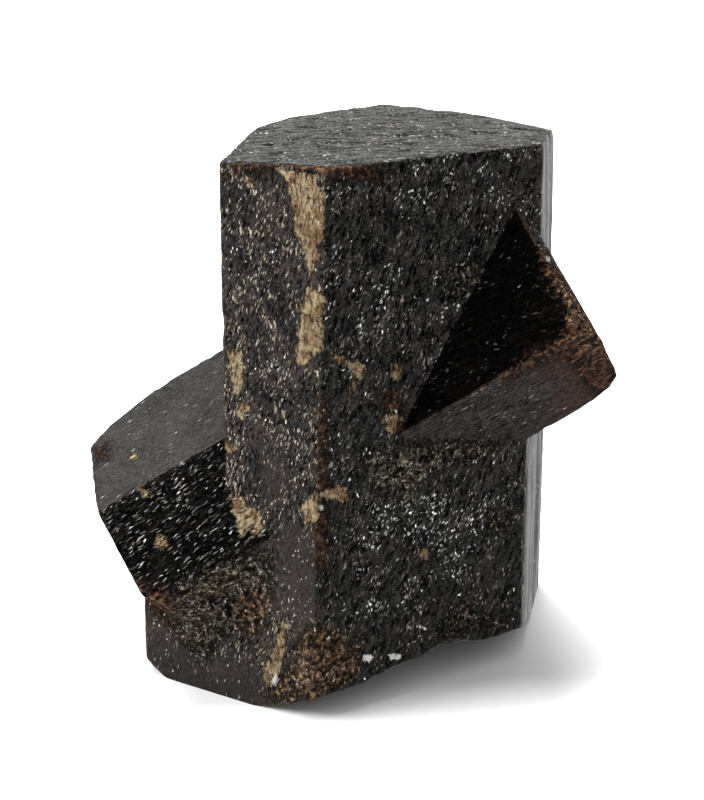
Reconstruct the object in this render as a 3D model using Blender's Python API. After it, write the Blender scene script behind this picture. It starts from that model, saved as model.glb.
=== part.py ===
"""A staurolite penetration twin: two six-sided prisms grown through each other."""
import math

import bmesh
import bpy
import numpy as np
from mathutils import Matrix, Vector

for old_object in list(bpy.data.objects):
    bpy.data.objects.remove(old_object, do_unlink=True)

# Lengths are in millimetres and become metres through MM; angles are in degrees.
MM = 0.001

# Cell edges of the mineral; only their ratios shape the crystal.
CELL_A = 7.87
CELL_B = 16.62
CELL_C = 5.66
TWIN_PLANE = (2, 3, 1)          # the plane that mirrors one prism into the other
TWIN_AZIMUTH = 2.29             # where the leaning prism points, seen from above

# Face distances are measured from the point where the two prism axes cross.
# The upright prism, with its foot wider to the left than its upper part.
UPRIGHT_FACES = {"R": 7.65, "S": 13.27, "Lo": 17.0, "Ro": 16.9, "So": 14.75}
FRONT_LEFT_OFFSET = 10.0
FRONT_LEFT_LEAN = 2.2           # the front left face leans back by this much
BASE_DROP = 20.2                # crossing point above the rest face
UPPER_LEFT_OFFSET = 8.03        # left face of the upper part
LOWER_RIGHT_OFFSET = 12.42      # right face of the foot
LEFT_NOTCH_CAP = 0.6            # the foot's left top, buried in the left arm
RIGHT_NOTCH_CAP = 7.2           # the foot's right top, buried in the right arm

# The worn top, as planes through three points each.
TOP_PLANES = (
    ((-2.1, -10.6, 20.9), (13.2, -1.2, 19.4), (5.9, 16.4, 16.6)),
    ((-8.5, -6.4, 20.0), (-4.0, -4.0, 19.9), (-6.9, 9.2, 17.5)),
    ((9.4, 13.6, 16.9), (13.9, 2.9, 18.6), (14.6, 10.7, 16.7)),
)

# The leaning prism: face distances of its right and left arms.
RIGHT_FACES = {"S": 7.9, "R": 5.63, "L": 6.57, "So": 8.21, "Lo": 8.4, "Ro": 8.2}
LEFT_FACES = {"S": 4.89, "R": 5.96, "L": 8.40, "So": 8.21, "Lo": 8.81, "Ro": 8.9}
LEFT_LENGTH = 18.89
RIGHT_ROOT = 3.0                # the right arm starts this far left of the crossing point
LEFT_ROOT = -2.5                # the left arm starts this far left of it

# Broken corners and ends: a point on the break and the way the break faces.
UPRIGHT_BREAKS = (
    ((-3.0, -10.8, -19.0), (0.02, -0.42, -0.91)),
    ((0.4, -8.7, -18.3), (0.27, -0.36, -1.0)),
    ((-15.1, -2.8, -19.4), (-0.66, -0.28, -0.70)),
    ((-13.2, 8.0, -19.2), (-0.55, 0.35, -0.76)),
    ((2.0, 20.8, -18.0), (0.10, 0.72, -0.69)),
    ((-5.9, 9.9, 17.9), (-0.62, 0.42, 0.66)),
    ((-0.5, 16.4, 16.5), (-0.42, 0.66, 0.62)),
)
RIGHT_BREAKS = (
    ((14.81, -2.16, 10.08), (0.871, 0.160, 0.465)),
    ((13.8, -7.1, 10.2), (0.722, -0.266, 0.639)),
    ((18.6, -1.9, 2.0), (0.93, 0.10, -0.36)),
    ((17.9, -1.35, 0.9), (0.62, 0.12, -0.77)),
)
LEFT_BREAKS = (
    ((-15.0, 5.57, -1.8), (-0.532, 0.769, 0.354)),
    ((-19.0, 3.6, -5.1), (-0.80, 0.50, 0.20)),
    ((-14.8, -8.4, -11.4), (-0.35, -0.55, -0.76)),
)

WORN_EDGE = 0.22                # rounding of every crystal edge
WORN_ANGLE = 18.0               # edges flatter than this stay as they are
START_SIZE = 90.0               # block that each arm is cut from
MERGE_DISTANCE = 0.02           # corners closer than this become one

# Growth grooves: long shallow spindles sunk along the leaning prism's axis, each given by
# its place along the axis, its place across the face, and its length.
GROOVE_WIDTH = 0.42
GROOVE_DEPTH = 0.17
GROOVES = {
    ("left", "R"): (
        (-13.6, 1.9, 6.2), (-10.6, 1.1, 5.0), (-14.9, 0.4, 4.6), (-10.2, -0.4, 5.6),
        (-14.6, -1.2, 5.2), (-9.8, -1.9, 3.6), (-13.3, -2.7, 4.4), (-15.4, 2.9, 3.0),
    ),
    ("left", "S"): ((-13.4, 1.2, 4.2), (-10.9, -1.4, 3.4), (-15.6, -0.6, 2.6)),
    ("right", "R"): (
        (13.2, 1.4, 5.2), (10.6, 0.5, 5.6), (14.2, -0.4, 4.4), (9.6, -1.3, 4.0),
        (12.6, 2.6, 3.8), (14.6, 4.0, 2.8),
    ),
    ("right", "L"): ((12.4, 0.8, 4.2), (14.4, -1.2, 3.6)),
}
# Pits left by flakes of mica, and nicks on worn edges: place across the face, height, size.
PITS = {
    "R": (
        (-5.6, 6.1, 0.9), (-4.2, 3.0, 0.7), (-0.9, 4.6, 0.6), (2.6, 14.2, 0.6), (5.2, 10.1, 0.7),
        (-2.7, 11.4, 0.5), (6.6, -8.1, 0.8), (-6.0, -8.9, 0.7), (1.6, -13.2, 0.6),
        (4.4, -15.4, 0.9), (8.6, -13.8, 0.6), (-3.1, -4.9, 0.8), (7.6, 17.9, 0.5),
    ),
    "L": (
        (-2.6, 15.6, 0.6), (1.2, 11.9, 0.7), (-4.7, 8.3, 0.6), (3.1, 3.6, 0.7), (-1.1, 0.4, 0.6),
        (-5.1, 4.0, 0.8), (2.3, -5.7, 0.8), (0.2, -11.6, 0.6), (-7.8, -17.0, 0.6),
    ),
    "S": ((-1.0, 11.2, 0.6), (4.9, 14.6, 0.8), (2.4, 17.1, 0.6)),
    "Lo": ((-4.2, 8.7, 0.9), (3.7, 1.3, 0.8), (-1.4, -9.6, 1.0), (5.1, -13.4, 0.7)),
    "Ro": ((-3.0, 3.9, 0.9), (-8.4, -4.4, 0.8), (2.4, -12.2, 0.9), (-7.7, 12.0, 0.7)),
}
PIT_FLATNESS = 0.3              # depth of a pit against its width
PIT_STRETCH = 1.5               # flakes are longer than wide
PIT_JITTER = 0.2
PIT_SEED = 7
LUMP_SEED = 8
LEDGE_SEED = 9
# The ragged band across the top: hollows at these places, as x, y, size.
TOP_HOLLOWS = (
    (-6.2, 2.2, 0.9), (-3.9, 4.1, 1.1), (-1.4, 3.3, 0.8), (1.1, 5.3, 1.2), (3.8, 4.7, 0.9),
    (6.3, 7.0, 0.8), (-4.6, -4.7, 0.6), (4.4, -1.6, 0.6), (9.2, 3.1, 0.7), (1.9, 11.3, 0.9),
)
# Chunks broken from edges: x, y, z, size.
EDGE_NICKS = (
    (-2.95, -11.35, 8.4, 0.7), (-3.35, -11.1, -3.6, 0.8), (-3.5, -11.0, -11.9, 0.7),
    (4.4, -6.3, 20.3, 0.7), (8.9, -3.5, 19.7, 0.6), (-5.2, -8.6, 20.6, 0.7),
    (3.1, -7.4, -19.3, 1.6), (7.4, -4.7, -18.7, 2.1), (9.9, 15.2, 16.3, 0.9),
    (3.7, 19.6, -2.6, 1.1), (-9.8, 12.9, -9.8, 1.0), (14.4, 9.3, 3.8, 0.8),
    (16.6, -6.1, 7.1, 0.6), (18.3, -3.0, 3.6, 0.7), (-18.6, 2.6, -5.0, 0.7),
    (-17.7, -4.7, -6.2, 0.6), (-15.6, -7.8, -10.3, 0.7),
)
# Rough lumps grown on under the left arm, at the front of the foot and under the right arm:
# the face they sit on, place across the face, height, size.
LUMPS = (
    ("L", -4.3, -12.4, 1.5), ("L", -6.0, -14.1, 1.4), ("L", -2.7, -14.3, 1.2),
    ("L", -7.9, -14.9, 1.1), ("L", -4.6, -16.0, 1.0), ("L", 5.6, -17.0, 1.0),
    ("R", -5.9, -16.4, 1.2), ("R", -4.6, -14.6, 1.0), ("R", -3.3, -2.6, 1.1),
    ("R", -0.9, -1.9, 1.2), ("R", 1.7, -1.1, 1.0), ("R", -4.9, -4.4, 0.9),
)
LUMP_FLATNESS = 0.22
# Growth ledges, one low angular plate each: face, place across, height, size.
LEDGES = (
    ("Lo", 0.8, 4.4, 4.2), ("Lo", -2.6, -8.2, 3.4), ("Lo", 5.4, -13.0, 2.6),
    ("Ro", -6.5, 6.0, 3.6), ("Ro", -3.0, -9.5, 4.0), ("R", 5.2, 16.2, 1.6),
    ("R", 2.6, -12.4, 1.9), ("L", 1.5, 7.2, 1.5),
)
LEDGE_FLATNESS = 0.07


def unit(vector):
    """Return the vector scaled to length one."""
    return vector / np.linalg.norm(vector)


def upright_normals():
    """Outward normals of the upright prism's six side faces."""
    plane = np.array([TWIN_PLANE[0] / CELL_A, TWIN_PLANE[1] / CELL_B])
    a_axis = math.radians(TWIN_AZIMUTH) - math.atan2(plane[1], plane[0])
    half = math.atan(CELL_A / CELL_B)
    turns = {
        "R": a_axis - half,
        "S": a_axis + half,
        "L": a_axis - math.pi / 2,
        "Lo": a_axis + math.pi / 2,
        "Ro": a_axis + math.pi - half,
        "So": a_axis + math.pi + half,
    }
    return {key: np.array([math.cos(turn), math.sin(turn), 0.0]) for key, turn in turns.items()}


def twin_normal():
    """Normal of the twin plane, leaning away from the leaning prism's right arm."""
    indices = unit(np.array([
        TWIN_PLANE[0] / CELL_A,
        TWIN_PLANE[1] / CELL_B,
        TWIN_PLANE[2] / CELL_C,
    ]))
    flat = math.hypot(indices[0], indices[1])
    turn = math.radians(TWIN_AZIMUTH)
    return np.array([-flat * math.cos(turn), -flat * math.sin(turn), indices[2]])


def mirrored(vector, normal):
    """Mirror a direction across the plane with this normal."""
    return vector - 2.0 * np.dot(vector, normal) * normal


def plane_of_points(points):
    """Plane through three points, as an outward normal and its distance."""
    first, second, third = (np.array(point) for point in points)
    normal = unit(np.cross(second - first, third - first))
    if normal[2] < 0.0:
        normal = -normal
    return normal, float(np.dot(normal, first))


def plane_of_break(point, facing):
    """Plane of a break, as an outward normal and its distance."""
    normal = unit(np.array(facing))
    return normal, float(np.dot(normal, np.array(point)))


def cut_block(planes):
    """Cut a large cube down to the convex solid behind every plane."""
    block = bmesh.new()
    bmesh.ops.create_cube(block, size=START_SIZE * MM)
    for normal, distance in planes:
        cut = bmesh.ops.bisect_plane(
            block,
            geom=block.verts[:] + block.edges[:] + block.faces[:],
            dist=1e-7,
            plane_co=Vector(normal * distance * MM),
            plane_no=Vector(normal),
            clear_outer=True,
        )
        rim = [item for item in cut["geom_cut"] if isinstance(item, bmesh.types.BMEdge)]
        bmesh.ops.contextual_create(block, geom=rim)
    bmesh.ops.recalc_face_normals(block, faces=block.faces[:])
    return block


def wear_edges(block):
    """Round the outward edges of a crystal block."""
    worn = [
        edge for edge in block.edges
        if edge.is_convex and edge.calc_face_angle(0.0) > math.radians(WORN_ANGLE)
    ]
    bmesh.ops.bevel(
        block, geom=worn, offset=WORN_EDGE * MM, offset_type="OFFSET", segments=2,
        profile=0.5, affect="EDGES", clamp_overlap=True,
    )
    bmesh.ops.remove_doubles(block, verts=block.verts[:], dist=MERGE_DISTANCE * MM)
    bmesh.ops.triangulate(block, faces=block.faces[:])


def make_object(name, block):
    """Turn a bmesh into a named object."""
    mesh = bpy.data.meshes.new(name)
    block.to_mesh(mesh)
    block.free()
    made = bpy.data.objects.new(name, mesh)
    bpy.context.collection.objects.link(made)
    return made


def combine(target, tool, operation):
    """Join the tool to the target, or cut it away, and drop the tool."""
    step = target.modifiers.new(operation, "BOOLEAN")
    step.object = tool
    step.operation = operation
    step.solver = "EXACT"
    bpy.context.view_layer.update()
    depsgraph = bpy.context.evaluated_depsgraph_get()
    mesh = bpy.data.meshes.new_from_object(target.evaluated_get(depsgraph))
    target.modifiers.remove(step)
    target.data = mesh
    bpy.data.objects.remove(tool, do_unlink=True)


def keep_outer_skin(target):
    """Drop every small shell that closed off inside the stone, keeping the largest skin."""
    block = bmesh.new()
    block.from_mesh(target.data)
    waiting = set(block.faces)
    shells = []
    while waiting:
        edge_of_shell = [waiting.pop()]
        shell = set(edge_of_shell)
        while edge_of_shell:
            face = edge_of_shell.pop()
            near = {other for edge in face.edges for other in edge.link_faces} & waiting
            waiting -= near
            shell |= near
            edge_of_shell.extend(near)
        shells.append(shell)
    shells.sort(key=len)
    for shell in shells[:-1]:
        bmesh.ops.delete(block, geom=list(shell), context="FACES")
    block.to_mesh(target.data)
    block.free()


UPRIGHT = upright_normals()
TWIN = twin_normal()
AXIS_UP = np.array([0.0, 0.0, 1.0])
LEANING = {key: mirrored(normal, TWIN) for key, normal in UPRIGHT.items()}
LEANING_AXIS = mirrored(AXIS_UP, TWIN)


def upright_prism():
    """The upright prism: worn top, flat rest face, and a foot shifted to the left."""
    lean = math.radians(FRONT_LEFT_LEAN)
    front_left = UPRIGHT["L"] * math.cos(lean) + AXIS_UP * math.sin(lean)
    planes = [(UPRIGHT[key], distance) for key, distance in UPRIGHT_FACES.items()]
    planes.append((front_left, FRONT_LEFT_OFFSET))
    planes.append((-AXIS_UP, BASE_DROP))
    planes += [plane_of_points(points) for points in TOP_PLANES]
    planes += [plane_of_break(point, facing) for point, facing in UPRIGHT_BREAKS]
    block = cut_block(planes)
    wear_edges(block)
    prism = make_object("staurolite_twin", block)
    left_notch = [(-UPRIGHT["So"], -UPPER_LEFT_OFFSET), (-LEANING["S"], -LEFT_NOTCH_CAP)]
    combine(prism, make_object("left_notch", cut_block(left_notch)), "DIFFERENCE")
    right_notch = [(-UPRIGHT["S"], -LOWER_RIGHT_OFFSET), (-LEANING["So"], -RIGHT_NOTCH_CAP)]
    combine(prism, make_object("right_notch", cut_block(right_notch)), "DIFFERENCE")
    return prism


def arm(name, faces, end_planes, breaks):
    """One arm of the leaning prism."""
    planes = [(LEANING[key], distance) for key, distance in faces.items()]
    planes += end_planes
    planes += [plane_of_break(point, facing) for point, facing in breaks]

    block = cut_block(planes)
    wear_edges(block)
    return make_object(name, block)


def angular_stone(block, centre, normal, size, flatness, random, stretch=1.0):
    """Add a jittered icosahedron, squashed along the face normal, to a bmesh."""
    made = bmesh.ops.create_icosphere(block, subdivisions=1, radius=size * MM)
    turn = Vector(normal).to_track_quat("Z", "Y").to_matrix()
    spin = Matrix.Rotation(random.uniform(0.0, math.tau), 3, "Z")
    for vertex in made["verts"]:
        point = vertex.co * (1.0 + random.uniform(-PIT_JITTER, PIT_JITTER))
        point.x *= stretch
        point.y /= stretch
        point.z *= flatness
        vertex.co = turn @ (spin @ point) + Vector(centre) * MM


def spindle(block, centre, along, normal, length):
    """Add a long eight-sided sliver, pointed at both ends, to a bmesh."""
    across = np.cross(normal, along)
    ends = [centre + along * length / 2, centre - along * length / 2]
    waist = [
        centre + across * GROOVE_WIDTH / 2,
        centre + normal * GROOVE_DEPTH,
        centre - across * GROOVE_WIDTH / 2,
        centre - normal * GROOVE_DEPTH,
    ]
    tips = [block.verts.new(Vector(point) * MM) for point in ends]
    ring = [block.verts.new(Vector(point) * MM) for point in waist]
    for index, corner in enumerate(ring):
        following = ring[(index + 1) % len(ring)]
        block.faces.new((tips[0], following, corner))
        block.faces.new((tips[1], corner, following))


def face_point(face, across, height):
    """Point on an upright face and the face's outward normal."""
    normal = UPRIGHT[face]
    distance = UPRIGHT_FACES.get(face, FRONT_LEFT_OFFSET)
    if face == "L":
        lean = math.radians(FRONT_LEFT_LEAN)
        distance -= height * math.tan(lean)
    sideways = np.cross(AXIS_UP, normal)
    return normal * distance + sideways * across + AXIS_UP * height, normal


def growth_grooves():
    """Every groove on the leaning prism's faces, as one cutter."""
    block = bmesh.new()
    arms = {"left": LEFT_FACES, "right": RIGHT_FACES}
    for (side, face), grooves in GROOVES.items():
        normal = LEANING[face]
        across = np.cross(normal, LEANING_AXIS)
        for along, sideways, length in grooves:
            centre = normal * arms[side][face] + LEANING_AXIS * along + across * sideways
            spindle(block, centre, LEANING_AXIS, normal, length)
    bmesh.ops.recalc_face_normals(block, faces=block.faces[:])
    return make_object("growth_grooves", block)


def pits_and_nicks():
    """Mica pits, hollows on top and broken edges, as one cutter."""
    block = bmesh.new()
    random = np.random.default_rng(PIT_SEED)
    for face, pits in PITS.items():
        for across, height, size in pits:
            centre, normal = face_point(face, across, height)
            angular_stone(block, centre, normal, size, PIT_FLATNESS, random, PIT_STRETCH)
    top_normal, top_distance = plane_of_points(TOP_PLANES[0])
    for across, depth, size in TOP_HOLLOWS:
        height = (top_distance - top_normal[0] * across - top_normal[1] * depth) / top_normal[2]
        centre = (across, depth, height)
        angular_stone(block, centre, top_normal, size, PIT_FLATNESS, random, PIT_STRETCH)
    for across, depth, height, size in EDGE_NICKS:
        angular_stone(block, (across, depth, height), AXIS_UP, size, 1.0, random)
    return make_object("pits_and_nicks", block)


def fused_stones(name, places, flatness, seed):
    """Low angular stones sunk in the upright faces, as one solid to join on."""
    block = bmesh.new()
    random = np.random.default_rng(seed)
    for face, across, height, size in places:
        centre, normal = face_point(face, across, height)
        angular_stone(block, centre, normal, size, flatness, random)
    return make_object(name, block)


crystal = upright_prism()
right_root = [(-LEANING_AXIS, RIGHT_ROOT)]
right_arm = arm("right_arm", RIGHT_FACES, right_root, RIGHT_BREAKS)
combine(crystal, right_arm, "UNION")
left_ends = [(-LEANING_AXIS, LEFT_LENGTH), (LEANING_AXIS, LEFT_ROOT)]
left_arm = arm("left_arm", LEFT_FACES, left_ends, LEFT_BREAKS)
combine(crystal, left_arm, "UNION")

ledges = fused_stones("growth_ledges", LEDGES, LEDGE_FLATNESS, LEDGE_SEED)
combine(crystal, ledges, "UNION")
lumps = fused_stones("rough_lumps", LUMPS, LUMP_FLATNESS, LUMP_SEED)
combine(crystal, lumps, "UNION")
combine(crystal, growth_grooves(), "DIFFERENCE")
combine(crystal, pits_and_nicks(), "DIFFERENCE")
keep_outer_skin(crystal)

corners = np.array([vertex.co[:] for vertex in crystal.data.vertices])
middle = (corners.min(axis=0) + corners.max(axis=0)) / 2
crystal.data.transform(Matrix.Translation((-middle[0], -middle[1], BASE_DROP * MM)))
print("foot centre", middle[:2], "polygons", len(crystal.data.polygons))

stone = bpy.data.materials.new("dark_stone")
stone.use_nodes = True
surface = stone.node_tree.nodes["Principled BSDF"]
surface.inputs["Base Color"].default_value = (0.022, 0.016, 0.014, 1.0)
surface.inputs["Roughness"].default_value = 0.45
surface.inputs["Metallic"].default_value = 0.0
crystal.data.materials.clear()
crystal.data.materials.append(stone)
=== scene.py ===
import math

import bpy
import numpy as np
from mathutils import Matrix, Vector


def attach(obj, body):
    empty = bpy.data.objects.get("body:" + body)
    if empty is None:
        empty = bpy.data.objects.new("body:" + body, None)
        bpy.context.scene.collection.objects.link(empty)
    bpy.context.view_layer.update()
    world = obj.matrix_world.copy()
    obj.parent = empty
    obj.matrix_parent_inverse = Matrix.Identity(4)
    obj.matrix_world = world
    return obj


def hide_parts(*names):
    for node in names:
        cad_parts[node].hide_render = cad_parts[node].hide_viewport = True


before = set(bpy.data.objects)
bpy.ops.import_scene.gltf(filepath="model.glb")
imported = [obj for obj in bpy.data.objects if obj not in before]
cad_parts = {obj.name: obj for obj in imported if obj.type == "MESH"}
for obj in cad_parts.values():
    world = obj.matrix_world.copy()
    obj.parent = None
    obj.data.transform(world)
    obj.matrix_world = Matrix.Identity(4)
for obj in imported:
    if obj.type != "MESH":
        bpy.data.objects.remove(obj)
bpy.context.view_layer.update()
mm = 0.001
print("frame loaded")

# the eye sits in front, a little above, and the frame is tipped by a hair
view = {
    "frame": (704, 800),
    "lens": 135.0,
    "sensor": 36.0,
    "eye": (0.209, -201.889, 103.875),
    "elevation": 22.985,
    "roll": -0.583,
}
tilt = math.radians(view["elevation"])
tip = math.radians(view["roll"])
lookAhead = np.array([0.0, math.cos(tilt), -math.sin(tilt)])
levelUp = np.array([0.0, math.sin(tilt), math.cos(tilt)])
frameRight = np.array([math.cos(tip), 0.0, 0.0]) + math.sin(tip) * levelUp
frameUp = np.array([-math.sin(tip), 0.0, 0.0]) + math.cos(tip) * levelUp
focalPixels = view["lens"] / view["sensor"] * max(view["frame"])


def unit(vector):
    return vector / np.linalg.norm(vector)


def unitRows(vectors):
    return vectors / np.maximum(np.linalg.norm(vectors, axis=1, keepdims=True), 1e-12)


def addObject(name, data):
    made = bpy.data.objects.new(name, data)
    bpy.context.scene.collection.objects.link(made)
    return made


cameraData = bpy.data.cameras.new("viewCamera")
cameraData.lens = view["lens"]
cameraData.sensor_width = view["sensor"]
cameraData.clip_start = 0.01
cameraData.clip_end = 20.0
camera = addObject("viewCamera", cameraData)
turned = Matrix(np.column_stack([frameRight, frameUp, -lookAhead]).tolist()).to_4x4()
camera.matrix_world = Matrix.Translation(Vector(view["eye"]) * mm) @ turned
bpy.context.scene.camera = camera

# lengths below are millimetres from the point where the two prism axes cross
crystal = {
    "cell": (7.87, 16.62, 5.66),
    "twinPlane": (2, 3, 1),
    "azimuth": 2.29,                     # where the leaning prism points, from above
    "crossing": (0.2094, -4.6161, 20.2),   # the crossing point in the finished part
    "frontLean": 2.2,                    # the front left face leans back
}


def prismNormals():
    cellA, cellB = crystal["cell"][:2]
    plane = (crystal["twinPlane"][0] / cellA, crystal["twinPlane"][1] / cellB)
    start = math.radians(crystal["azimuth"]) - math.atan2(plane[1], plane[0])
    half = math.atan(cellA / cellB)
    turns = {
        "R": start - half, "S": start + half, "L": start - math.pi / 2,
        "Lo": start + math.pi / 2, "Ro": start + math.pi - half, "So": start + math.pi + half,
    }
    return {key: np.array([math.cos(a), math.sin(a), 0.0]) for key, a in turns.items()}


def twinNormal():
    indices = unit(np.array(crystal["twinPlane"]) / np.array(crystal["cell"]))
    flat = math.hypot(indices[0], indices[1])
    turn = math.radians(crystal["azimuth"])
    return np.array([-flat * math.cos(turn), -flat * math.sin(turn), indices[2]])


def mirrored(vector):
    return vector - 2.0 * np.dot(vector, twin) * twin


twin = twinNormal()
zUp = np.array([0.0, 0.0, 1.0])
upright = prismNormals()
leaning = {key: mirrored(normal) for key, normal in upright.items()}
leaningAxis = mirrored(zUp)
lean = math.radians(crystal["frontLean"])
upright["Lf"] = upright["L"] * math.cos(lean) + zUp * math.sin(lean)

# distance of every face from the crossing point; a break is a point and the way it faces
uprightPlan = {
    "faces": {"R": 7.65, "S": 13.27, "Lo": 17.0, "Ro": 16.9, "So": 14.75, "Lf": 10.0},
    "upperLeft": 8.03, "leftCap": 0.6,         # the foot is wider to the left
    "lowerRight": 12.587, "rightCap": 7.2,     # and narrower to the right
    "lowerRightTurn": -0.032, "lowerRightLean": -0.0156,
    "base": 20.2,
    "breaks": (
        ((-3.0, -10.8, -19.0), (0.02, -0.42, -0.91)),
        ((0.4, -8.7, -18.3), (0.27, -0.36, -1.0)),
        ((-15.1, -2.8, -19.4), (-0.66, -0.28, -0.70)),
        ((-13.2, 8.0, -19.2), (-0.55, 0.35, -0.76)),
        ((2.0, 20.8, -18.0), (0.10, 0.72, -0.69)),
        ((-5.9, 9.9, 17.9), (-0.62, 0.42, 0.66)),
        ((-0.5, 16.4, 16.5), (-0.42, 0.66, 0.62)),
    ),
}
rightPlan = {
    "faces": {"S": 7.9, "R": 5.63, "L": 6.57, "So": 8.21, "Lo": 8.4, "Ro": 8.2},
    "root": 3.0,
    "breaks": (
        ((14.81, -2.16, 10.08), (0.871, 0.160, 0.465)),
        ((13.8, -7.1, 10.2), (0.722, -0.266, 0.639)),
        ((18.6, -1.9, 2.0), (0.93, 0.10, -0.36)),
        ((17.9, -1.35, 0.9), (0.62, 0.12, -0.77)),
    ),
}
leftPlan = {
    "faces": {"S": 4.89, "R": 5.96, "L": 8.40, "So": 8.21, "Lo": 8.81, "Ro": 8.9},
    "root": -2.5,
    "length": 18.89,
    "breaks": (
        ((-15.0, 5.57, -1.8), (-0.532, 0.769, 0.354)),
        ((-19.0, 3.6, -5.1), (-0.80, 0.50, 0.20)),
        ((-14.8, -8.4, -11.4), (-0.35, -0.55, -0.76)),
    ),
}
# three planes of the worn top, each through three points
topPlan = (
    ((-2.1, -10.6, 20.9), (13.2, -1.2, 19.4), (5.9, 16.4, 16.6)),
    ((-8.5, -6.4, 20.0), (-4.0, -4.0, 19.9), (-6.9, 9.2, 17.5)),
    ((9.4, 13.6, 16.9), (13.9, 2.9, 18.6), (14.6, 10.7, 16.7)),
)
kinds = ("leftSkin", "rightSkin", "side", "top", "armFront", "armGloss", "armTop", "armUnder", "broken")


def breakRows(breaks):
    return [(unit(np.array(facing)), float(unit(np.array(facing)) @ np.array(point)), "broken")
            for point, facing in breaks]


def uprightBodies():
    kindOf = {"S": "side", "R": "rightSkin", "Lo": "rightSkin", "Ro": "rightSkin"}
    shared = [(upright[key], distance, kindOf.get(key, "leftSkin"))
              for key, distance in uprightPlan["faces"].items()]
    shared += breakRows(uprightPlan["breaks"])
    left = [(upright["So"], uprightPlan["upperLeft"], "leftSkin"),
            (leaning["S"], uprightPlan["leftCap"], "armTop")]
    lowerRight = unit(upright["S"] + uprightPlan["lowerRightTurn"] * np.cross(zUp, upright["S"])
                      + uprightPlan["lowerRightLean"] * zUp)
    right = [(lowerRight, uprightPlan["lowerRight"], "side"),
             (leaning["So"], uprightPlan["rightCap"], "armUnder")]
    return [shared + [a] + [b] for a in left for b in right]


def armBody(plan, front, endRows):
    kindOf = {"R": front, "S": "armTop"}
    rows = [(leaning[key], distance, kindOf.get(key, "armUnder"))
            for key, distance in plan["faces"].items()]
    return rows + endRows + breakRows(plan["breaks"])


bodies = uprightBodies()
uprightCount = len(bodies)
bodies.append(armBody(rightPlan, "armGloss", [(-leaningAxis, rightPlan["root"], "broken")]))
bodies.append(armBody(leftPlan, "armFront", [(leaningAxis, leftPlan["root"], "broken"),
                                             (-leaningAxis, leftPlan["length"], "broken")]))
bodyNormals = [np.array([row[0] for row in body]) for body in bodies]
bodyDistances = [np.array([row[1] for row in body]) for body in bodies]
bodyKinds = [np.array([kinds.index(row[2]) for row in body]) for body in bodies]
edgeRadius = 0.085        # how far the crystal edges are rounded


# rounded outside of one convex body: soft largest of its plane distances
def bodyField(points, which):
    gaps = points @ bodyNormals[which].T - bodyDistances[which]
    top = gaps.max(axis=1)
    return top + edgeRadius * np.log(np.exp((gaps - top[:, None]) / edgeRadius).sum(axis=1))


def allFields(points):
    return np.array([bodyField(points, which) for which in range(len(bodies))])


# the whole stone: smallest of its bodies' fields
def stoneField(points):
    return allFields(points).min(axis=0)


# outward direction and edge closeness: plane normals weighed as in the soft largest
def stoneNormals(points):
    owner = allFields(points).argmin(axis=0)
    normals = np.zeros_like(points)
    edge = np.zeros(len(points))
    for which in range(len(bodies)):
        mine = owner == which
        gaps = points[mine] @ bodyNormals[which].T - bodyDistances[which]
        order = np.sort(gaps, axis=1)
        weight = np.exp((gaps - order[:, -1:]) / edgeRadius)
        weight /= weight.sum(axis=1, keepdims=True)
        normals[mine] = weight @ bodyNormals[which]
        edge[mine] = order[:, -1] - order[:, -2]
    return unitRows(normals), edge


# which plane of which body a point lies on
def facesOf(points):
    owner = allFields(points).argmin(axis=0)
    plane = np.zeros(len(points), int)
    for which in range(len(bodies)):
        mine = owner == which
        plane[mine] = (points[mine] @ bodyNormals[which].T - bodyDistances[which]).argmax(axis=1)
    return owner, plane


def planeThrough(points):
    first, second, third = (np.array(point) for point in points)
    normal = unit(np.cross(second - first, third - first))
    normal = normal if normal[2] > 0 else -normal
    return normal, float(normal @ first)


topPlanes = [planeThrough(points) for points in topPlan]
topBlend = 0.12


# height of the worn top: soft smallest of three slopes
def topHeight(x, y):
    heights = np.array([(d - n[0] * x - n[1] * y) / n[2] for n, d in topPlanes])
    low = heights.min(axis=0)
    return low - topBlend * np.log(np.exp((low - heights) / topBlend).sum(axis=0))


def underTop(points):
    return topHeight(points[:, 0], points[:, 1]) - points[:, 2]


# large odd factors that scatter whole numbers, and the bits that are kept
scatter = {
    "axes": (73856093, 19349663, 83492791),
    "seed": 2654435761,
    "rounds": ((15, 2246822519), (13, 3266489917)),
}
allBits, resultBits = 0xFFFFFFFF, 0xFFFFFF


# repeatable random number for every whole-numbered cell
def cellRandom(cells, seed):
    byX, byY, byZ = (cells[..., axis] * factor for axis, factor in enumerate(scatter["axes"]))
    mixed = (byX ^ byY ^ byZ ^ seed * scatter["seed"]) & allBits
    for shift, factor in scatter["rounds"]:
        mixed = ((mixed ^ (mixed >> shift)) * factor) & allBits
    return ((mixed ^ (mixed >> 16)) & resultBits) / resultBits


# smooth noise, -1 to 1: random corner values eased across each cell
def softNoise(points, size, seed):
    scaled = points / size
    cells = np.floor(scaled).astype(np.int64)
    part = scaled - cells
    eased = part * part * part * (part * (part * 6 - 15) + 10)
    total = np.zeros(len(points))
    for corner in range(8):
        step = np.array([corner & 1, corner >> 1 & 1, corner >> 2 & 1])
        share = np.where(step == 1, eased, 1 - eased).prod(axis=1)
        total += share * cellRandom(cells + step, seed)
    return total * 2 - 1


# three layers of smooth noise, each half as large and half as strong, -1 to 1
def layeredNoise(points, size, seed):
    shares = (1, 0.5, 0.25)
    layers = [softNoise(points, size * share, seed + layer) * share for layer, share in enumerate(shares)]
    return sum(layers) / sum(shares)


dentWidth = (0.3, 0.75)      # narrowest and widest dent, in cells


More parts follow.
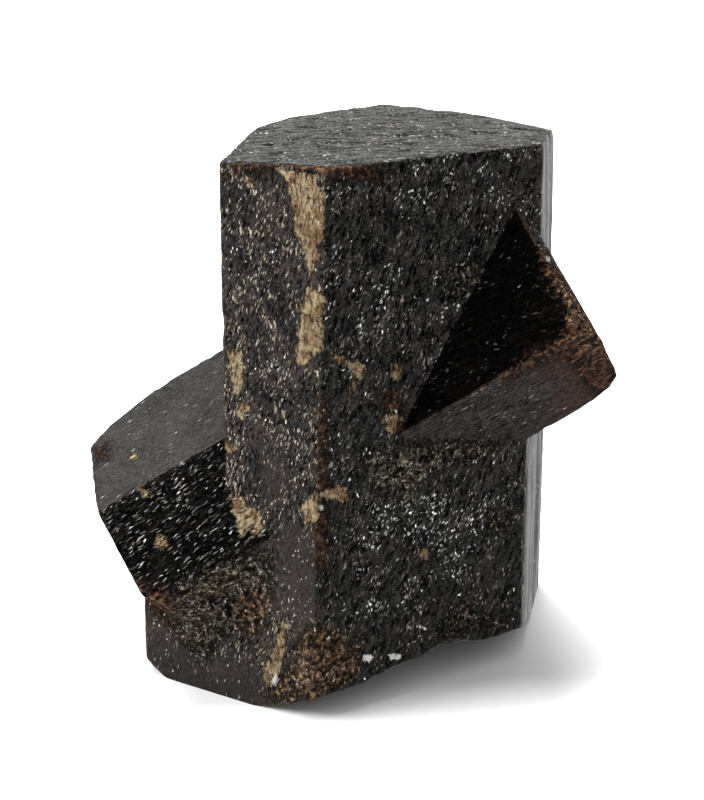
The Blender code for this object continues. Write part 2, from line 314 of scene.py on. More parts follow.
# round dents, 0 to 1: one jittered dent in some of the cells, deepest at its middle
def dentNoise(points, size, seed, share):
    narrow, wide = dentWidth
    scaled = points / size
    cells = np.floor(scaled).astype(np.int64)
    depth = np.zeros(len(points))
    for corner in range(27):
        step = np.array([corner % 3 - 1, corner // 3 % 3 - 1, corner // 9 - 1])
        near = cells + step
        middle = near + 0.5 + 0.5 * np.stack(
            [cellRandom(near, seed + axis) - 0.5 for axis in range(3)], axis=1)
        radius = narrow + (wide - narrow) * cellRandom(near, seed + 7)
        away = np.linalg.norm(scaled - middle, axis=1) / radius
        dent = np.clip(1 - away ** 2, 0, 1) * (cellRandom(near, seed + 9) < share)
        depth = np.maximum(depth, dent * radius / wide)
    return depth


tiny, farAway = 1e-9, 1e9


def smoothStep(low, high, value):
    part = np.clip((value - low) / (high - low), 0, 1)
    return part * part * (3 - 2 * part)


print("crystal planes ready")

# outlines as they are seen through the camera, in its pixels: across, down, across, down and so on;
# each sits on the stone behind it
patches = {
    "clay": {
        "edgeWedge": (278, 168, 292, 171, 315, 175, 317, 187, 325, 192, 326, 210, 323, 230, 324, 242,
            317, 247, 317, 260, 313, 273, 312, 282, 307, 267, 304, 252, 299, 240, 295, 232, 294, 213,
            290, 197, 287, 185),
        "edgeTongue": (312, 285, 317, 292, 325, 297, 324, 313, 322, 330, 322, 348, 315, 357, 307, 362,
            300, 367, 296, 362, 294, 355, 298, 345, 297, 333, 300, 323, 301, 310, 303, 297, 307, 290),
        "leftStrip": (228, 352, 237, 349, 243, 353, 245, 363, 243, 377, 241, 390, 237, 398, 233, 393,
            233, 383, 230, 373, 229, 362),
        "leftChip": (225, 443, 235, 444, 237, 451, 227, 453),
        "leftLow": (228, 495, 240, 497, 248, 505, 260, 512, 263, 523, 260, 535, 253, 537, 250, 527,
            243, 537, 240, 532, 237, 520, 232, 508),
        "edgeLow": (303, 502, 312, 495, 320, 493, 319, 508, 318, 520, 312, 525, 305, 522, 302, 513),
        "edgeArm": (323, 492, 332, 487, 343, 486, 350, 490, 348, 498, 342, 502, 333, 497, 327, 500,
            323, 497),
        "branches": (328, 353, 340, 355, 350, 362, 363, 363, 367, 373, 360, 378, 356, 377, 357, 387,
            350, 397, 347, 395, 352, 383, 352, 373, 343, 363, 333, 358),
        "footStreak": (283, 617, 288, 627, 285, 643, 282, 663, 280, 673, 275, 685, 267, 688, 263, 680,
            263, 668, 270, 657, 275, 643, 280, 630),
        "leftNotch": (238, 405, 246, 403, 250, 410, 246, 419, 239, 418),
        "topChip": (246, 176, 253, 177, 254, 187, 248, 188),
        "rightSpot": (391, 364, 399, 366, 402, 373, 398, 380, 392, 376),
        "seepEdge": (384, 418, 392, 410, 399, 418, 397, 432, 389, 435, 385, 428),
        "frontFleckA": (157, 537, 163, 536, 167, 544, 162, 549, 157, 545),
        "frontFleckB": (141, 489, 149, 489, 151, 495, 144, 498),
        "armFleck": (128, 453, 136, 454, 137, 460, 130, 460),
        "lowFleck": (420, 551, 427, 549, 430, 557, 424, 560),
    },
    "rust": {
        "topRim": (222, 165, 240, 164, 278, 167, 317, 165, 340, 165, 373, 166, 386, 177, 380, 182, 353, 175,
            333, 180, 326, 175, 310, 172, 278, 171, 262, 172, 245, 171, 228, 176, 221, 180),
        "frontEdge": (321, 400, 327, 402, 328, 423, 326, 457, 327, 490, 326, 523, 328, 547, 330, 567,
            320, 567, 317, 540, 319, 507, 320, 457, 320, 423),
        "rightEnd": (540, 252, 557, 265, 567, 287, 580, 303, 593, 323, 607, 347, 617, 373, 614, 387,
            600, 396, 588, 385, 575, 365, 560, 356, 542, 362, 522, 373, 506, 381, 503, 376, 522, 364,
            546, 350, 566, 336, 564, 306, 552, 282, 542, 268),
        "leftCorner": (140, 583, 152, 593, 167, 593, 168, 607, 163, 617, 152, 607, 143, 600),
        "armLip": (97, 450, 106, 447, 108, 455, 99, 459),
        "underLeftSpot": (240, 600, 250, 598, 252, 610, 244, 614),
        "rightSeep": (386, 392, 394, 390, 400, 402, 401, 426, 396, 434, 388, 428, 387, 410),
    },
    "stain": {
        "rightEndLow": (520, 366, 545, 350, 570, 345, 600, 358, 620, 373, 617, 393, 585, 408, 556, 424,
            545, 420, 560, 398, 545, 380),
        "leftFoot": (146, 596, 168, 596, 176, 612, 166, 626, 150, 622),
    },
    "ochre": {
        "footFront": (297, 647, 310, 627, 320, 625, 333, 633, 347, 637, 357, 647, 360, 657, 357, 670,
            347, 683, 333, 692, 313, 697, 290, 698, 267, 697, 280, 683, 290, 667),
        "armEdge": (559, 283, 570, 296, 580, 305, 592, 325, 602, 345, 597, 352, 585, 343, 572, 325,
            562, 305),
        "underLeftEdge": (240, 600, 262, 596, 266, 612, 258, 632, 243, 630),
    },
    "dirt": {
        "underLeft": (267, 553, 240, 553, 220, 562, 197, 575, 180, 588, 163, 600, 158, 612, 170, 623,
            183, 640, 193, 653, 203, 660, 213, 650, 227, 633, 253, 627, 263, 620, 267, 603, 270, 573),
        "underRight": (363, 463, 380, 455, 413, 447, 440, 443, 467, 445, 493, 447, 470, 462, 440, 467,
            420, 483, 413, 497, 397, 502, 385, 495, 377, 493, 373, 477),
        "greyPatch": (452, 270, 460, 267, 470, 266, 476, 271, 472, 284, 460, 286, 453, 279),
        "lowPatch": (487, 517, 493, 513, 503, 515, 508, 522, 507, 528, 498, 530, 488, 527),
        "footStreaks": (443, 637, 448, 623, 458, 610, 463, 598, 470, 607, 477, 613, 487, 615, 502, 618,
            500, 625, 487, 628, 467, 628, 453, 635, 445, 643),
        "foot": (425, 551, 430, 553, 429, 559, 423, 558),
    },
    "calm": {
        "footLeft": (146, 605, 175, 640, 205, 662, 240, 655, 262, 672, 264, 706, 200, 694, 160, 680,
            140, 650),
        "leftLow": (278, 555, 290, 520, 306, 532, 318, 530, 318, 622, 300, 628, 284, 605),
        "leftMid": (262, 470, 276, 452, 288, 470, 282, 500, 268, 505),
        "topFront": (300, 152, 420, 146, 500, 142, 520, 136, 470, 132, 440, 140, 400, 148, 340, 152,
            330, 160, 300, 160),
    },
    # pits: where the worn top is pitted; the pits are painted near black, painted shade inside them
    "pits": {
        "topBand": (228, 153, 262, 147, 300, 142, 350, 137, 400, 134, 440, 133, 452, 138, 430, 143,
            390, 146, 340, 150, 300, 154, 260, 158, 232, 160),
        "topBack": (300, 126, 350, 121, 400, 123, 420, 128, 370, 130, 320, 131),
        "topRight": (470, 118, 520, 124, 545, 131, 520, 133, 480, 126),
    },
    # sparkle: places where painted glints crowd
    "sparkle": {
        "corner": (480, 172, 505, 175, 528, 200, 538, 215, 520, 215, 497, 203, 484, 190),
        "upper": (395, 188, 420, 190, 424, 210, 405, 214, 394, 203),
        "middle": (366, 508, 400, 498, 440, 492, 488, 500, 490, 530, 468, 552, 462, 585, 440, 572, 425, 548,
            398, 545, 384, 566, 368, 548),
        "low": (362, 600, 385, 594, 410, 594, 408, 610, 380, 612),
        "upperLeft": (350, 290, 385, 285, 402, 310, 392, 342, 360, 338),
    },
    # small bright spots, partly mica flakes and partly painted glints; the one on the arm's tip is a
    # painted highlight on its edge
    "mica": {
        "footSpot": (271, 676, 277, 674, 279, 680, 275, 686, 270, 684),
        "edgeSpot": (319, 505, 323, 505, 323, 511, 319, 511),
        "rightA": (362, 655, 370, 654, 373, 658, 368, 662, 363, 661),
        "rightB": (389, 655, 396, 653, 403, 656, 398, 659, 391, 659),
        "rightC": (416, 625, 424, 628, 429, 630, 424, 630, 417, 627),
        "armTip": (544, 256, 549, 257, 550, 262, 545, 261),
    },
}


# where points show in the frame, in pixels
def seenAt(points):
    shifted = points + np.array(crystal["crossing"]) - np.array(view["eye"])
    away = shifted @ lookAhead
    across = view["frame"][0] / 2 + focalPixels * (shifted @ frameRight) / away
    down = view["frame"][1] / 2 - focalPixels * (shifted @ frameUp) / away
    return np.stack([across, down], axis=1)


# signed distance in pixels to a closed outline, positive inside
def outlineDepth(pixels, outline):
    corners = np.array(outline, float).reshape(-1, 2)
    nearest = np.full(len(pixels), farAway)
    inside = np.zeros(len(pixels), bool)
    for start, end in zip(corners, np.roll(corners, -1, axis=0)):
        along = end - start
        share = np.clip((pixels - start) @ along / (along @ along), 0, 1)
        nearest = np.minimum(nearest, np.linalg.norm(pixels - start - share[:, None] * along, axis=1))
        crosses = (start[1] > pixels[:, 1]) != (end[1] > pixels[:, 1])
        level = along[1] if along[1] else tiny
        inside ^= crosses & (pixels[:, 0] < start[0] + (pixels[:, 1] - start[1]) * along[0] / level)
    return np.where(inside, nearest, -nearest)


# how a line to the eye is tried: steps along it, and how deep a step may dip into the stone
sight = {"first": 0.7, "last": 24.0, "steps": 30, "dip": 0.12, "turnedAway": -0.02}
outsidePatch = -400.0      # pixels, far outside every outline


# whether points have a free line to the eye: steps towards it must stay outside the stone
def inSight(points, normals):
    towards = unitRows(np.array(view["eye"]) - np.array(crystal["crossing"]) - points)
    free = (normals * towards).sum(axis=1) > sight["turnedAway"]
    for step in np.linspace(sight["first"], sight["last"], sight["steps"]):
        free[free] = stoneField(points[free] + step * towards[free]) > -sight["dip"]
    return free


# depth inside the nearest patch of a tone, in millimetres, on faces the eye can see
def patchDepth(points, visible, tone):
    pixels = seenAt(points)
    depths = [outlineDepth(pixels, outline) for outline in patches[tone].values()]
    pixelsPerMm = focalPixels / np.linalg.norm(np.array(view["eye"]))
    return np.where(visible, np.maximum(np.max(depths, axis=0), outsidePatch), outsidePatch) / pixelsPerMm


stoneGrid = {
    "axis": (2.6, 4.6),        # where the columns meet, inside the stone
    "columns": 400,
    "rows": 188,
    "samples": 1800,           # directions tried when the columns are placed
    "topRings": 38,
    "baseRings": 5,
    "backShare": 0.40,         # columns on the far side against the near side
    "cornerPull": 0.85,        # extra columns at corners
    "cornerLimit": 1.2,        # sharpest turn that counts, in radians
    "cornerSpread": (12, 4.5),     # samples to each side, and width of the bell
    "rowSpread": (6, 2.2),
    "topRound": 0.13,          # rounding of the top rim
    "rimDepths": (0.42, 0.30, 0.20, 0.12, 0.06),
    "rimGap": 0.2,             # from the plain rows to the first row of the rim
    "tiltFrom": -6.0,          # height where the rows begin to tilt
    "joined": 0.05,            # bodies this close along a ray count as touching
    "search": (-0.9, 0.35),    # where the rounded surface is looked for, about the sharp one
    "halvings": 13,
    "outerRings": (0.994, 0.987, 0.977, 0.97),     # extra rings of the top, and where the plain ones begin
}
axisX, axisY = stoneGrid["axis"]
topAtAxis = float(topHeight(np.array([axisX]), np.array([axisY]))[0])
baseLevel = -uprightPlan["base"]
rimRows = topAtAxis - np.array(stoneGrid["rimDepths"])
plainRows = np.linspace(baseLevel, rimRows[0] - stoneGrid["rimGap"], stoneGrid["rows"] - len(rimRows))
rowLevels = np.concatenate([plainRows, rimRows])
# rows turn from level to the slope of the top
rowTilt = smoothStep(stoneGrid["tiltFrom"], topAtAxis, rowLevels)
topSlope = -topPlanes[0][0][:2] / topPlanes[0][0][2]


# outermost crossing of straight rays with the union of convex bodies, one ray per row and turn:
# each body gives where the ray enters and leaves, and touching stretches are joined
def rayLengths(turns):
    rise = rowTilt[:, None] * (topSlope[0] * np.cos(turns) + topSlope[1] * np.sin(turns))
    direction = np.stack([np.cos(turns), np.sin(turns), rise], axis=2)
    stretches = []
    for normals, distances in zip(bodyNormals, bodyDistances):
        speed = direction @ normals.T
        room = distances - np.array([axisX, axisY]) @ normals[:, :2].T - rowLevels[:, None] * normals[:, 2]
        reach = room[:, None, :] / np.where(np.abs(speed) < tiny, tiny, speed)
        leave = np.where(speed > tiny, reach, farAway).min(axis=2)
        enter = np.where(speed < -tiny, reach, -farAway).max(axis=2)
        missed = leave <= np.maximum(enter, 0)
        stretches.append((np.where(missed, farAway, enter), np.where(missed, 0, leave)))
    length = np.zeros(turns.shape)
    # a stretch may touch one that comes later in the list, so the list is gone through again
    for enter, leave in stretches * 3:
        length = np.where(enter <= length + stoneGrid["joined"], np.maximum(length, leave), length)
    return length


def bellWeights(reach, width):
    weights = np.exp(-0.5 * (np.arange(-reach, reach + 1) / width) ** 2)
    return weights / weights.sum()


# columns crowd where the outline is near the camera and where it turns:
# their turns are the inverse of the running sum of that weight, evened out between rows
def columnTurns():
    grid = math.pi / 2 + np.arange(stoneGrid["samples"] + 1) * math.tau / stoneGrid["samples"]
    turns = grid[:-1]
    length = rayLengths(np.broadcast_to(turns, (len(rowLevels), len(turns))))
    x, y = length * np.cos(turns), length * np.sin(turns)
    stepX, stepY = np.roll(x, -1, axis=1) - x, np.roll(y, -1, axis=1) - y
    step = np.hypot(stepX, stepY)
    heading = np.arctan2(stepY, stepX)
    bend = np.abs((np.roll(heading, 1, axis=1) - heading + math.pi) % math.tau - math.pi)
    facing = -stepX / np.maximum(step, tiny)          # y of the outward direction
    near = smoothStep(0.35, -0.05, facing)
    share = stoneGrid["backShare"] + (1 - stoneGrid["backShare"]) * near
    pull = np.minimum(bend, stoneGrid["cornerLimit"])
    reach, width = stoneGrid["cornerSpread"]
    pull = sum(np.roll(pull, shift, axis=1) * part
               for shift, part in enumerate(bellWeights(reach, width), -reach))
    weight = share * (step + stoneGrid["cornerPull"] * pull) + 1e-4
    running = np.cumsum(weight, axis=1)
    running /= running[:, -1:]
    reach, width = stoneGrid["rowSpread"]
    padded = np.pad(running, ((reach, reach), (0, 0)), mode="edge")
    running = sum(padded[shift:shift + len(running)] * part
                  for shift, part in enumerate(bellWeights(reach, width)))
    running = np.concatenate([np.zeros((len(running), 1)), running], axis=1)
    wanted = np.arange(stoneGrid["columns"]) / stoneGrid["columns"]
    return np.array([np.interp(wanted, row, grid) for row in running])


# a point of a row at a distance from the axis; rows follow the worn top more and more
def rowPoints(turns, length):
    x = axisX + length * np.cos(turns)
    y = axisY + length * np.sin(turns)
    top = topHeight(x, y)
    tiltShare = rowTilt[:, None]
    z = (1 - tiltShare) * rowLevels[:, None] + tiltShare * (top - (topAtAxis - rowLevels[:, None]))
    return np.stack([x, y, z], axis=2), top - z


# how far the rounded rim drops at a depth behind it: roundness * log(1 - exp(-depth / roundness))
def rimDrop(depth):
    return stoneGrid["topRound"] * np.log(1 - np.exp(-depth / stoneGrid["topRound"]))


# side of the stone: halving steps find where the rounded field meets the level that rounds the rim
def sideSurface():
    turns = columnTurns()
    length = rayLengths(turns)
    low, high = np.maximum(length + stoneGrid["search"][0], 0.1), length + stoneGrid["search"][1]
    for _ in range(stoneGrid["halvings"]):
        middle = (low + high) / 2
        points, under = rowPoints(turns, middle)
        field = stoneField(points.reshape(-1, 3)).reshape(turns.shape)
        inside = field < rimDrop(np.maximum(under, 0.01))
        low, high = np.where(inside, middle, low), np.where(inside, high, middle)
    length = (low + high) / 2
    return rowPoints(turns, length)[0], turns, length


# rings that close the top: the height is the worn top lowered towards the rim
def topSurface(turns, length):
    share = np.linspace(1, 0, stoneGrid["topRings"] + 1)[1:-1]
    *outer, plainFrom = stoneGrid["outerRings"]
    share = np.concatenate([outer, share[share < plainFrom]])
    x = axisX + share[:, None] * length * np.cos(turns)
    y = axisY + share[:, None] * length * np.sin(turns)
    top = topHeight(x, y)
    flat = np.stack([x, y, top - 0.15], axis=2)
    inward = -stoneField(flat.reshape(-1, 3)).reshape(x.shape)
    return np.stack([x, y, top + rimDrop(np.maximum(inward, 0.04))], axis=2)


# rings that close the flat base
def baseSurface(firstRow):
    share = np.linspace(1, 0, stoneGrid["baseRings"] + 1)[1:-1, None, None]
    centre = np.array([axisX, axisY, baseLevel])
    return centre + share * (firstRow - centre)


sidePoints, sideTurns, sideLength = sideSurface()
topPoints = topSurface(sideTurns[-1], sideLength[-1])
basePoints = baseSurface(sidePoints[0])
rings = np.concatenate([basePoints[::-1], sidePoints, topPoints])
columns = stoneGrid["columns"]
sideStart = len(basePoints) * columns                 # first point of the side, and of the top
topStart = sideStart + len(sidePoints) * columns
basePole = np.array([axisX, axisY, baseLevel])
topPole = np.array([axisX, axisY, topAtAxis])
print("stone grid", rings.shape)


# marks of the relief: height in millimetres, size of the pattern, seed, and the share of cells with a dent
reliefMarks = {
    "swell": (0.035, 2.6, 11), "grain": (0.018, 0.8, 21), "sideGrooves": (0.11, 1.7, 141),
    "break": (0.11, 1.4, 61), "dirtLumps": (0.20, 1.3, 71), "dirtHoles": (0.16, 1.2, 73, 0.6),
    "rustGrain": (0.07, 0.7, 81), "clayGrain": (0.05, 0.6, 91), "topSwell": (0.05, 0.9, 101),
    "topDents": (0.10, 1.0, 103, 0.35), "topPits": (0.22, 0.75, 107, 0.6),
    "rimChips": (0.13, 0.8, 121, 0.45), "skinDents": (0.075, 0.95, 31, 0.42),
    "skinHollows": (0.10, 2.1, 41, 0.22), "edgeChips": (0.16, 0.9, 111, 0.30),
    "edgeNicks": (0.096, 0.45, 117, 0.4), "frontStriae": (0.085, 0.62, 51), "armStriae": (0.02, 0.62, 51),
}
clayThickness = 0.05
# how patterns are stretched: dents are tall, striae run along the arms, grooves down the side
stretch = {"dents": (1.0, 1.0, 0.55), "striae": (0.16, 1.0, 1.0), "grooves": 0.06,
           "waves": (0.35, 1.0, 1.0), "pits": (1.6, 1.0, 1.0)}
# where a part of the relief begins and where it is full: millimetres, and for rimAbove a share of the top
reliefZones = {
    "top": (0.9, 0.25), "base": (0.9, 0.1), "dirt": (-0.25, 0.6), "rust": (-0.2, 0.5), "clay": (-0.1, 0.25),
    "pitBand": (2.4, 0.4), "edge": (0.35, 0.0), "rimAbove": (0.05, 0.5), "rimAside": (-1.2, -0.05),
    "normals": (0.30, 0.0), "capNormals": (-0.1, -0.4),
}
pitBand = {"slope": 0.28, "middle": 2.2}      # the pitted band across the top: y = slope * x + middle


# one mark of the relief: dents where it names a share of cells, otherwise layered noise
def markOf(points, name):
    height, *pattern = reliefMarks[name]
    noise = dentNoise if len(pattern) == 3 else layeredNoise
    return height * noise(points, *pattern)


def zone(name, value):
    return smoothStep(*reliefZones[name], value)


def kindIn(kind, *names):
    return np.isin(kind, [kinds.index(name) for name in names])


# relief in millimetres along the outward direction: sum of the marks that belong to each place
def reliefOf(points, edge, visible):
    owner, plane = facesOf(points)
    kind = np.zeros(len(points), int)
    for which in range(len(bodies)):
        kind[owner == which] = bodyKinds[which][plane[owner == which]]
    x, y, z = points.T
    onTop = zone("top", underTop(points))
    atBase = zone("base", z - baseLevel)
    rough, rusty, clay = (zone(tone, patchDepth(points, visible, tone))
                          for tone in ("dirt", "rust", "clay"))

    relief = markOf(points, "swell") + markOf(points, "grain")
    flattened = points * np.array(stretch["dents"])
    relief -= kindIn(kind, "leftSkin", "rightSkin") * markOf(flattened, "skinDents")
    relief -= kindIn(kind, "leftSkin", "rightSkin") * markOf(flattened, "skinHollows")
    armAcross = unit(np.cross(leaning["R"], leaningAxis))
    inArm = points @ np.stack([leaningAxis, armAcross, leaning["R"]], axis=1)
    striped = inArm * np.array(stretch["striae"])
    relief += kindIn(kind, "armFront") * markOf(striped, "frontStriae")
    relief += kindIn(kind, "armGloss", "armTop", "armUnder") * markOf(striped, "armStriae")
    sideways = np.cross(zUp, upright["S"])
    inSide = points @ np.stack([upright["S"], sideways, stretch["grooves"] * zUp], axis=1)
    relief += kindIn(kind, "side") * markOf(inSide, "sideGrooves")
    relief += kindIn(kind, "broken") * markOf(points, "break")
    relief += rough * (markOf(points, "dirtLumps") - markOf(points, "dirtHoles"))
    relief += rusty * markOf(points, "rustGrain") + clay * (clayThickness + markOf(points, "clayGrain"))
    band = zone("pitBand", np.abs(y - pitBand["slope"] * x - pitBand["middle"]))
    wavy = points * np.array(stretch["waves"])
    topMarks = markOf(wavy, "topSwell") - markOf(wavy, "topDents")
    topMarks -= band * markOf(wavy * np.array(stretch["pits"]), "topPits")
    relief = relief * (1 - onTop) + topMarks * onTop
    relief -= zone("edge", edge) * (markOf(points, "edgeChips") + markOf(points, "edgeNicks"))
    rim = zone("rimAbove", onTop) * zone("rimAside", stoneField(points))
    relief -= rim * markOf(points, "rimChips")
    return relief * (1 - atBase) - undercutOf(points, kind)


# the broken foot under the front right face: it falls back below a ragged line
footBreak = {
    "across": (-1.5, 0.0, 1.4, 2.8, 4.6, 7.2, 9.2, 10.8, 12.6),
    "height": (-19.4, -18.5, -17.9, -17.7, -17.4, -17.0, -17.5, -18.1, -18.2),
    "fall": 1.35,
    "ragged": (0.35, 1.5, 131),      # height, size and seed of the noise on its line, and on its depth
    "lumpy": (0.35, 1.1, 137),
    "front": ((-1.6, 0.4), (4.0, 0.5)),     # where it begins and is full, by x and by y
}


def undercutOf(points, kind):
    line = np.interp(points[:, 0], footBreak["across"], footBreak["height"])
    ragged, *raggedNoise = footBreak["ragged"]
    lumpy, *lumpyNoise = footBreak["lumpy"]
    line += ragged * layeredNoise(points * np.array([1, 1, 0.1]), *raggedNoise)
    below = np.maximum(line - points[:, 2], 0)
    byX, byY = footBreak["front"]
    inFront = smoothStep(*byX, points[:, 0]) * smoothStep(*byY, points[:, 1])
    lumps = 1 + lumpy * layeredNoise(points, *lumpyNoise)
    return kindIn(kind, "rightSkin", "broken") * below * footBreak["fall"] * inFront * lumps


def placedStone():
    flat = rings.reshape(-1, 3)
    normals, edge = stoneNormals(flat)
    topShare = zone("normals", underTop(flat))
    inCap = zone("capNormals", stoneField(flat[topStart:]))
    topShare[topStart:] = np.maximum(topShare[topStart:], inCap)
    normals = normals * (1 - topShare[:, None]) + topPlanes[0][0] * topShare[:, None]
    normals = unitRows(normals)
    visible = inSight(flat, normals)
    moved = flat + normals * reliefOf(flat, edge, visible)[:, None]
    firstRow = moved[sideStart:sideStart + columns] * np.array([1, 1, 0]) + zUp * baseLevel
    moved[sideStart:sideStart + columns] = firstRow
    moved[:sideStart] = baseSurface(firstRow[None])[::-1].reshape(-1, 3)
    moved[:, 2] = np.maximum(moved[:, 2], baseLevel)
    return moved, edge, visible


stonePoints, stoneEdge, stoneVisible = placedStone()
print("stone relief ready")


# two triangles to each cell of the grid; the shared side is the one that lies closer to the stone
def gridTriangles():
    ringCount = len(rings)
    ring, column = np.meshgrid(np.arange(ringCount - 1), np.arange(columns), indexing="ij")
    after = (column + 1) % columns
    a, b = ring * columns + column, ring * columns + after
    c, d = (ring + 1) * columns + after, (ring + 1) * columns + column
    a, b, c, d = (corner.ravel() for corner in (a, b, c, d))
    flat = rings.reshape(-1, 3)
    first = np.abs(stoneField((flat[a] + flat[c]) / 2))
    second = np.abs(stoneField((flat[b] + flat[d]) / 2))
    useFirst = ((a < sideStart) | (c >= topStart) | (first <= second))[:, None]
    lower = np.where(useFirst, np.stack([a, b, c], axis=1), np.stack([a, b, d], axis=1))
    upper = np.where(useFirst, np.stack([a, c, d], axis=1), np.stack([b, c, d], axis=1))
    poles = ringCount * columns
    around = np.arange(columns)
    following = (around + 1) % columns
    last = (ringCount - 1) * columns
    bottom = np.stack([np.full(columns, poles), following, around], axis=1)
    top = np.stack([np.full(columns, poles + 1), last + around, last + following], axis=1)
    return np.concatenate([lower, upper, bottom, top])


# pattern coordinates in millimetres: across and along the crystal face each triangle lies on;
# every face starts at its own place, so that no two carry the same marks
facePlace = {"shift": 41.0, "topReach": 0.45, "topFacing": 0.7, "endFace": 0.2}


def facePattern(points, triangles):
    middle = points[triangles].mean(axis=1)
    owner, plane = facesOf(middle)
    sides = points[triangles]
    facing = unitRows(np.cross(sides[:, 1] - sides[:, 0], sides[:, 2] - sides[:, 0]))
    onTop = (underTop(middle) < facePlace["topReach"]) & (facing[:, 2] > facePlace["topFacing"])
    pattern = np.zeros((len(triangles), 3, 2))
    kind = np.zeros(len(triangles), int)
    for which, body in enumerate(bodies):
        grain = zUp if which < uprightCount else leaningAxis
        for index, (normal, _, kindName) in enumerate(body):
            mine = (owner == which) & (plane == index)
            along = grain - normal * (grain @ normal)
            if np.linalg.norm(along) < facePlace["endFace"]:
                along = np.cross(normal, [1.0, 0, 0])
            along = unit(along)
            across = np.cross(along, normal)
            kind[mine] = kinds.index(kindName)
            shift = normal.sum() * facePlace["shift"]
            pattern[mine] = np.stack([sides[mine] @ across + shift, sides[mine] @ along - shift], axis=2)
    kind[onTop] = kinds.index("top")
    pattern[onTop] = sides[onTop][:, :, :2]
    return pattern, kind


depthLimit = 9.0        # depths to edges and patches are kept up to here, in millimetres


def makeStone():
    points = np.concatenate([stonePoints, [basePole], [topPole]])
    visible = np.concatenate([stoneVisible, [False, True]])
    triangles = gridTriangles()
    pattern, kind = facePattern(points, triangles)
    mesh = bpy.data.meshes.new("stauroliteStone")
    mesh.vertices.add(len(points))
    mesh.vertices.foreach_set("co", ((points + np.array(crystal["crossing"])) * mm).ravel())
    mesh.loops.add(triangles.size)
    mesh.loops.foreach_set("vertex_index", triangles.ravel())
    mesh.polygons.add(len(triangles))
    mesh.polygons.foreach_set("loop_start", np.arange(len(triangles)) * 3)
    mesh.polygons.foreach_set("loop_total", np.full(len(triangles), 3))
    mesh.polygons.foreach_set("use_smooth", np.ones(len(triangles), bool))
    mesh.update(calc_edges=True)
    mesh.uv_layers.new(name="facePattern").data.foreach_set("uv", pattern.ravel())
    for name in kinds:
        mesh.materials.append(stoneLooks[name])
    mesh.polygons.foreach_set("material_index", kind)
    edge = np.minimum(np.concatenate([stoneEdge, [depthLimit] * 2]), np.maximum(underTop(points), 0))
    edge[topStart:] = -stoneField(points[topStart:])
    depths = {tone: patchDepth(points, visible, tone) for tone in patches}
    for name, value in {"edge": edge, **depths}.items():
        layer = mesh.attributes.new(name, "FLOAT", "POINT")
        layer.data.foreach_set("value", np.clip(value, -depthLimit, depthLimit).astype(np.float32))
    print("stone", len(points), "points", len(triangles), "triangles")
    return addObject("stauroliteStone", mesh)


# node building: every helper works in the node tree that the sockets it is given belong to
def treeOf(values):
    return next(value.id_data for value in values if isinstance(value, bpy.types.NodeSocket))


def addNode(tree, kind, **settings):
    made = tree.nodes.new(kind)
    for name, value in settings.items():
        setattr(made, name, value)
    return made


def feed(socket, value):
    if isinstance(value, bpy.types.NodeSocket):
        socket.id_data.links.new(value, socket)
    elif isinstance(value, tuple) and len(value) == 3 and socket.type == "RGBA":
        socket.default_value = (*value, 1.0)
    else:
        socket.default_value = value


def wired(kind, values, inputs=None, **settings):
    made = addNode(treeOf(values), kind, **settings)
    for key, value in zip(inputs or range(len(values)), values):
        feed(made.inputs[key], value)
    return made


def mathNode(operation):
    return lambda *values: wired("ShaderNodeMath", values, operation=operation).outputs[0]


mathKinds = ("ADD", "SUBTRACT", "MULTIPLY", "POWER", "MAXIMUM")
plus, minus, times, power, largest = (mathNode(operation) for operation in mathKinds)


def vectorMaths(operation, *values):
    return wired("ShaderNodeVectorMath", values, operation=operation).outputs[0]


def mixColour(share, first, second):
    return wired("ShaderNodeMix", (share, first, second), (0, 6, 7), data_type="RGBA").outputs[2]


def mixValue(share, first, second):
    return wired("ShaderNodeMix", (share, first, second), (0, 2, 3), data_type="FLOAT").outputs[0]


def ease(value, low, high, first=0.0, last=1.0):
    values = (value, low, high, first, last)
    return wired("ShaderNodeMapRange", values, interpolation_type="SMOOTHSTEP").outputs[0]


def joined(first, second):
    return wired("ShaderNodeCombineXYZ", (first, second)).outputs[0]


def parted(vector):
    return wired("ShaderNodeSeparateXYZ", (vector,)).outputs


def stretched(vector, scale, turn=0.0):
    values = (vector, scale, (0.0, 0.0, math.radians(turn)))
    made = wired("ShaderNodeMapping", values, ("Vector", "Scale", "Rotation"), vector_type="POINT")
    return made.outputs[0]


def turnedBy(vector, angle):
    made = wired("ShaderNodeVectorRotate", (vector, angle), ("Vector", "Angle"), rotation_type="Z_AXIS")
    return made.outputs[0]


# scale, detail and roughness of every noise
noises = {
    "broad": (0.35, 3.0, 0.5), "mottle": (0.8, 4.0, 0.7), "grit": (6.0, 2.0, 0.7), "wear": (0.9, 4.0, 0.65),
    "crumb": (2.6, 4.0, 0.72), "fibre": (1.0, 4.0, 0.72), "fine": (5.6, 3.0, 0.7), "lump": (1.0, 3.0, 0.6),
    "wander": (1.4, 2.0, 0.5), "fray": (2.2, 3.0, 0.65), "clump": (0.5, 2.0, 0.5),
}


def noiseAt(vector, name):
    inputs = ("Vector", "Scale", "Detail", "Roughness")
    return wired("ShaderNodeTexNoise", (vector, *noises[name]), inputs).outputs[0]


def maskOf(tree, name):
    return addNode(tree, "ShaderNodeAttribute", attribute_name=name).outputs["Fac"]


# group sockets carry numbers, apart from these
socketKinds = {"Place": "NodeSocketVector", "Pattern": "NodeSocketVector", "Colour": "NodeSocketColor"}


def newGroup(name, inputs, outputs):
    tree = bpy.data.node_groups.new(name, "ShaderNodeTree")
    for side, labels in (("INPUT", inputs), ("OUTPUT", outputs)):
        for label in labels:
            kind = socketKinds.get(label, "NodeSocketFloat")
            tree.interface.new_socket(name=label, in_out=side, socket_type=kind)
    return tree, addNode(tree, "NodeGroupInput").outputs, addNode(tree, "NodeGroupOutput").inputs


def useGroup(group, **values):
    return wired("ShaderNodeGroup", tuple(values.values()), tuple(values), node_tree=group).outputs


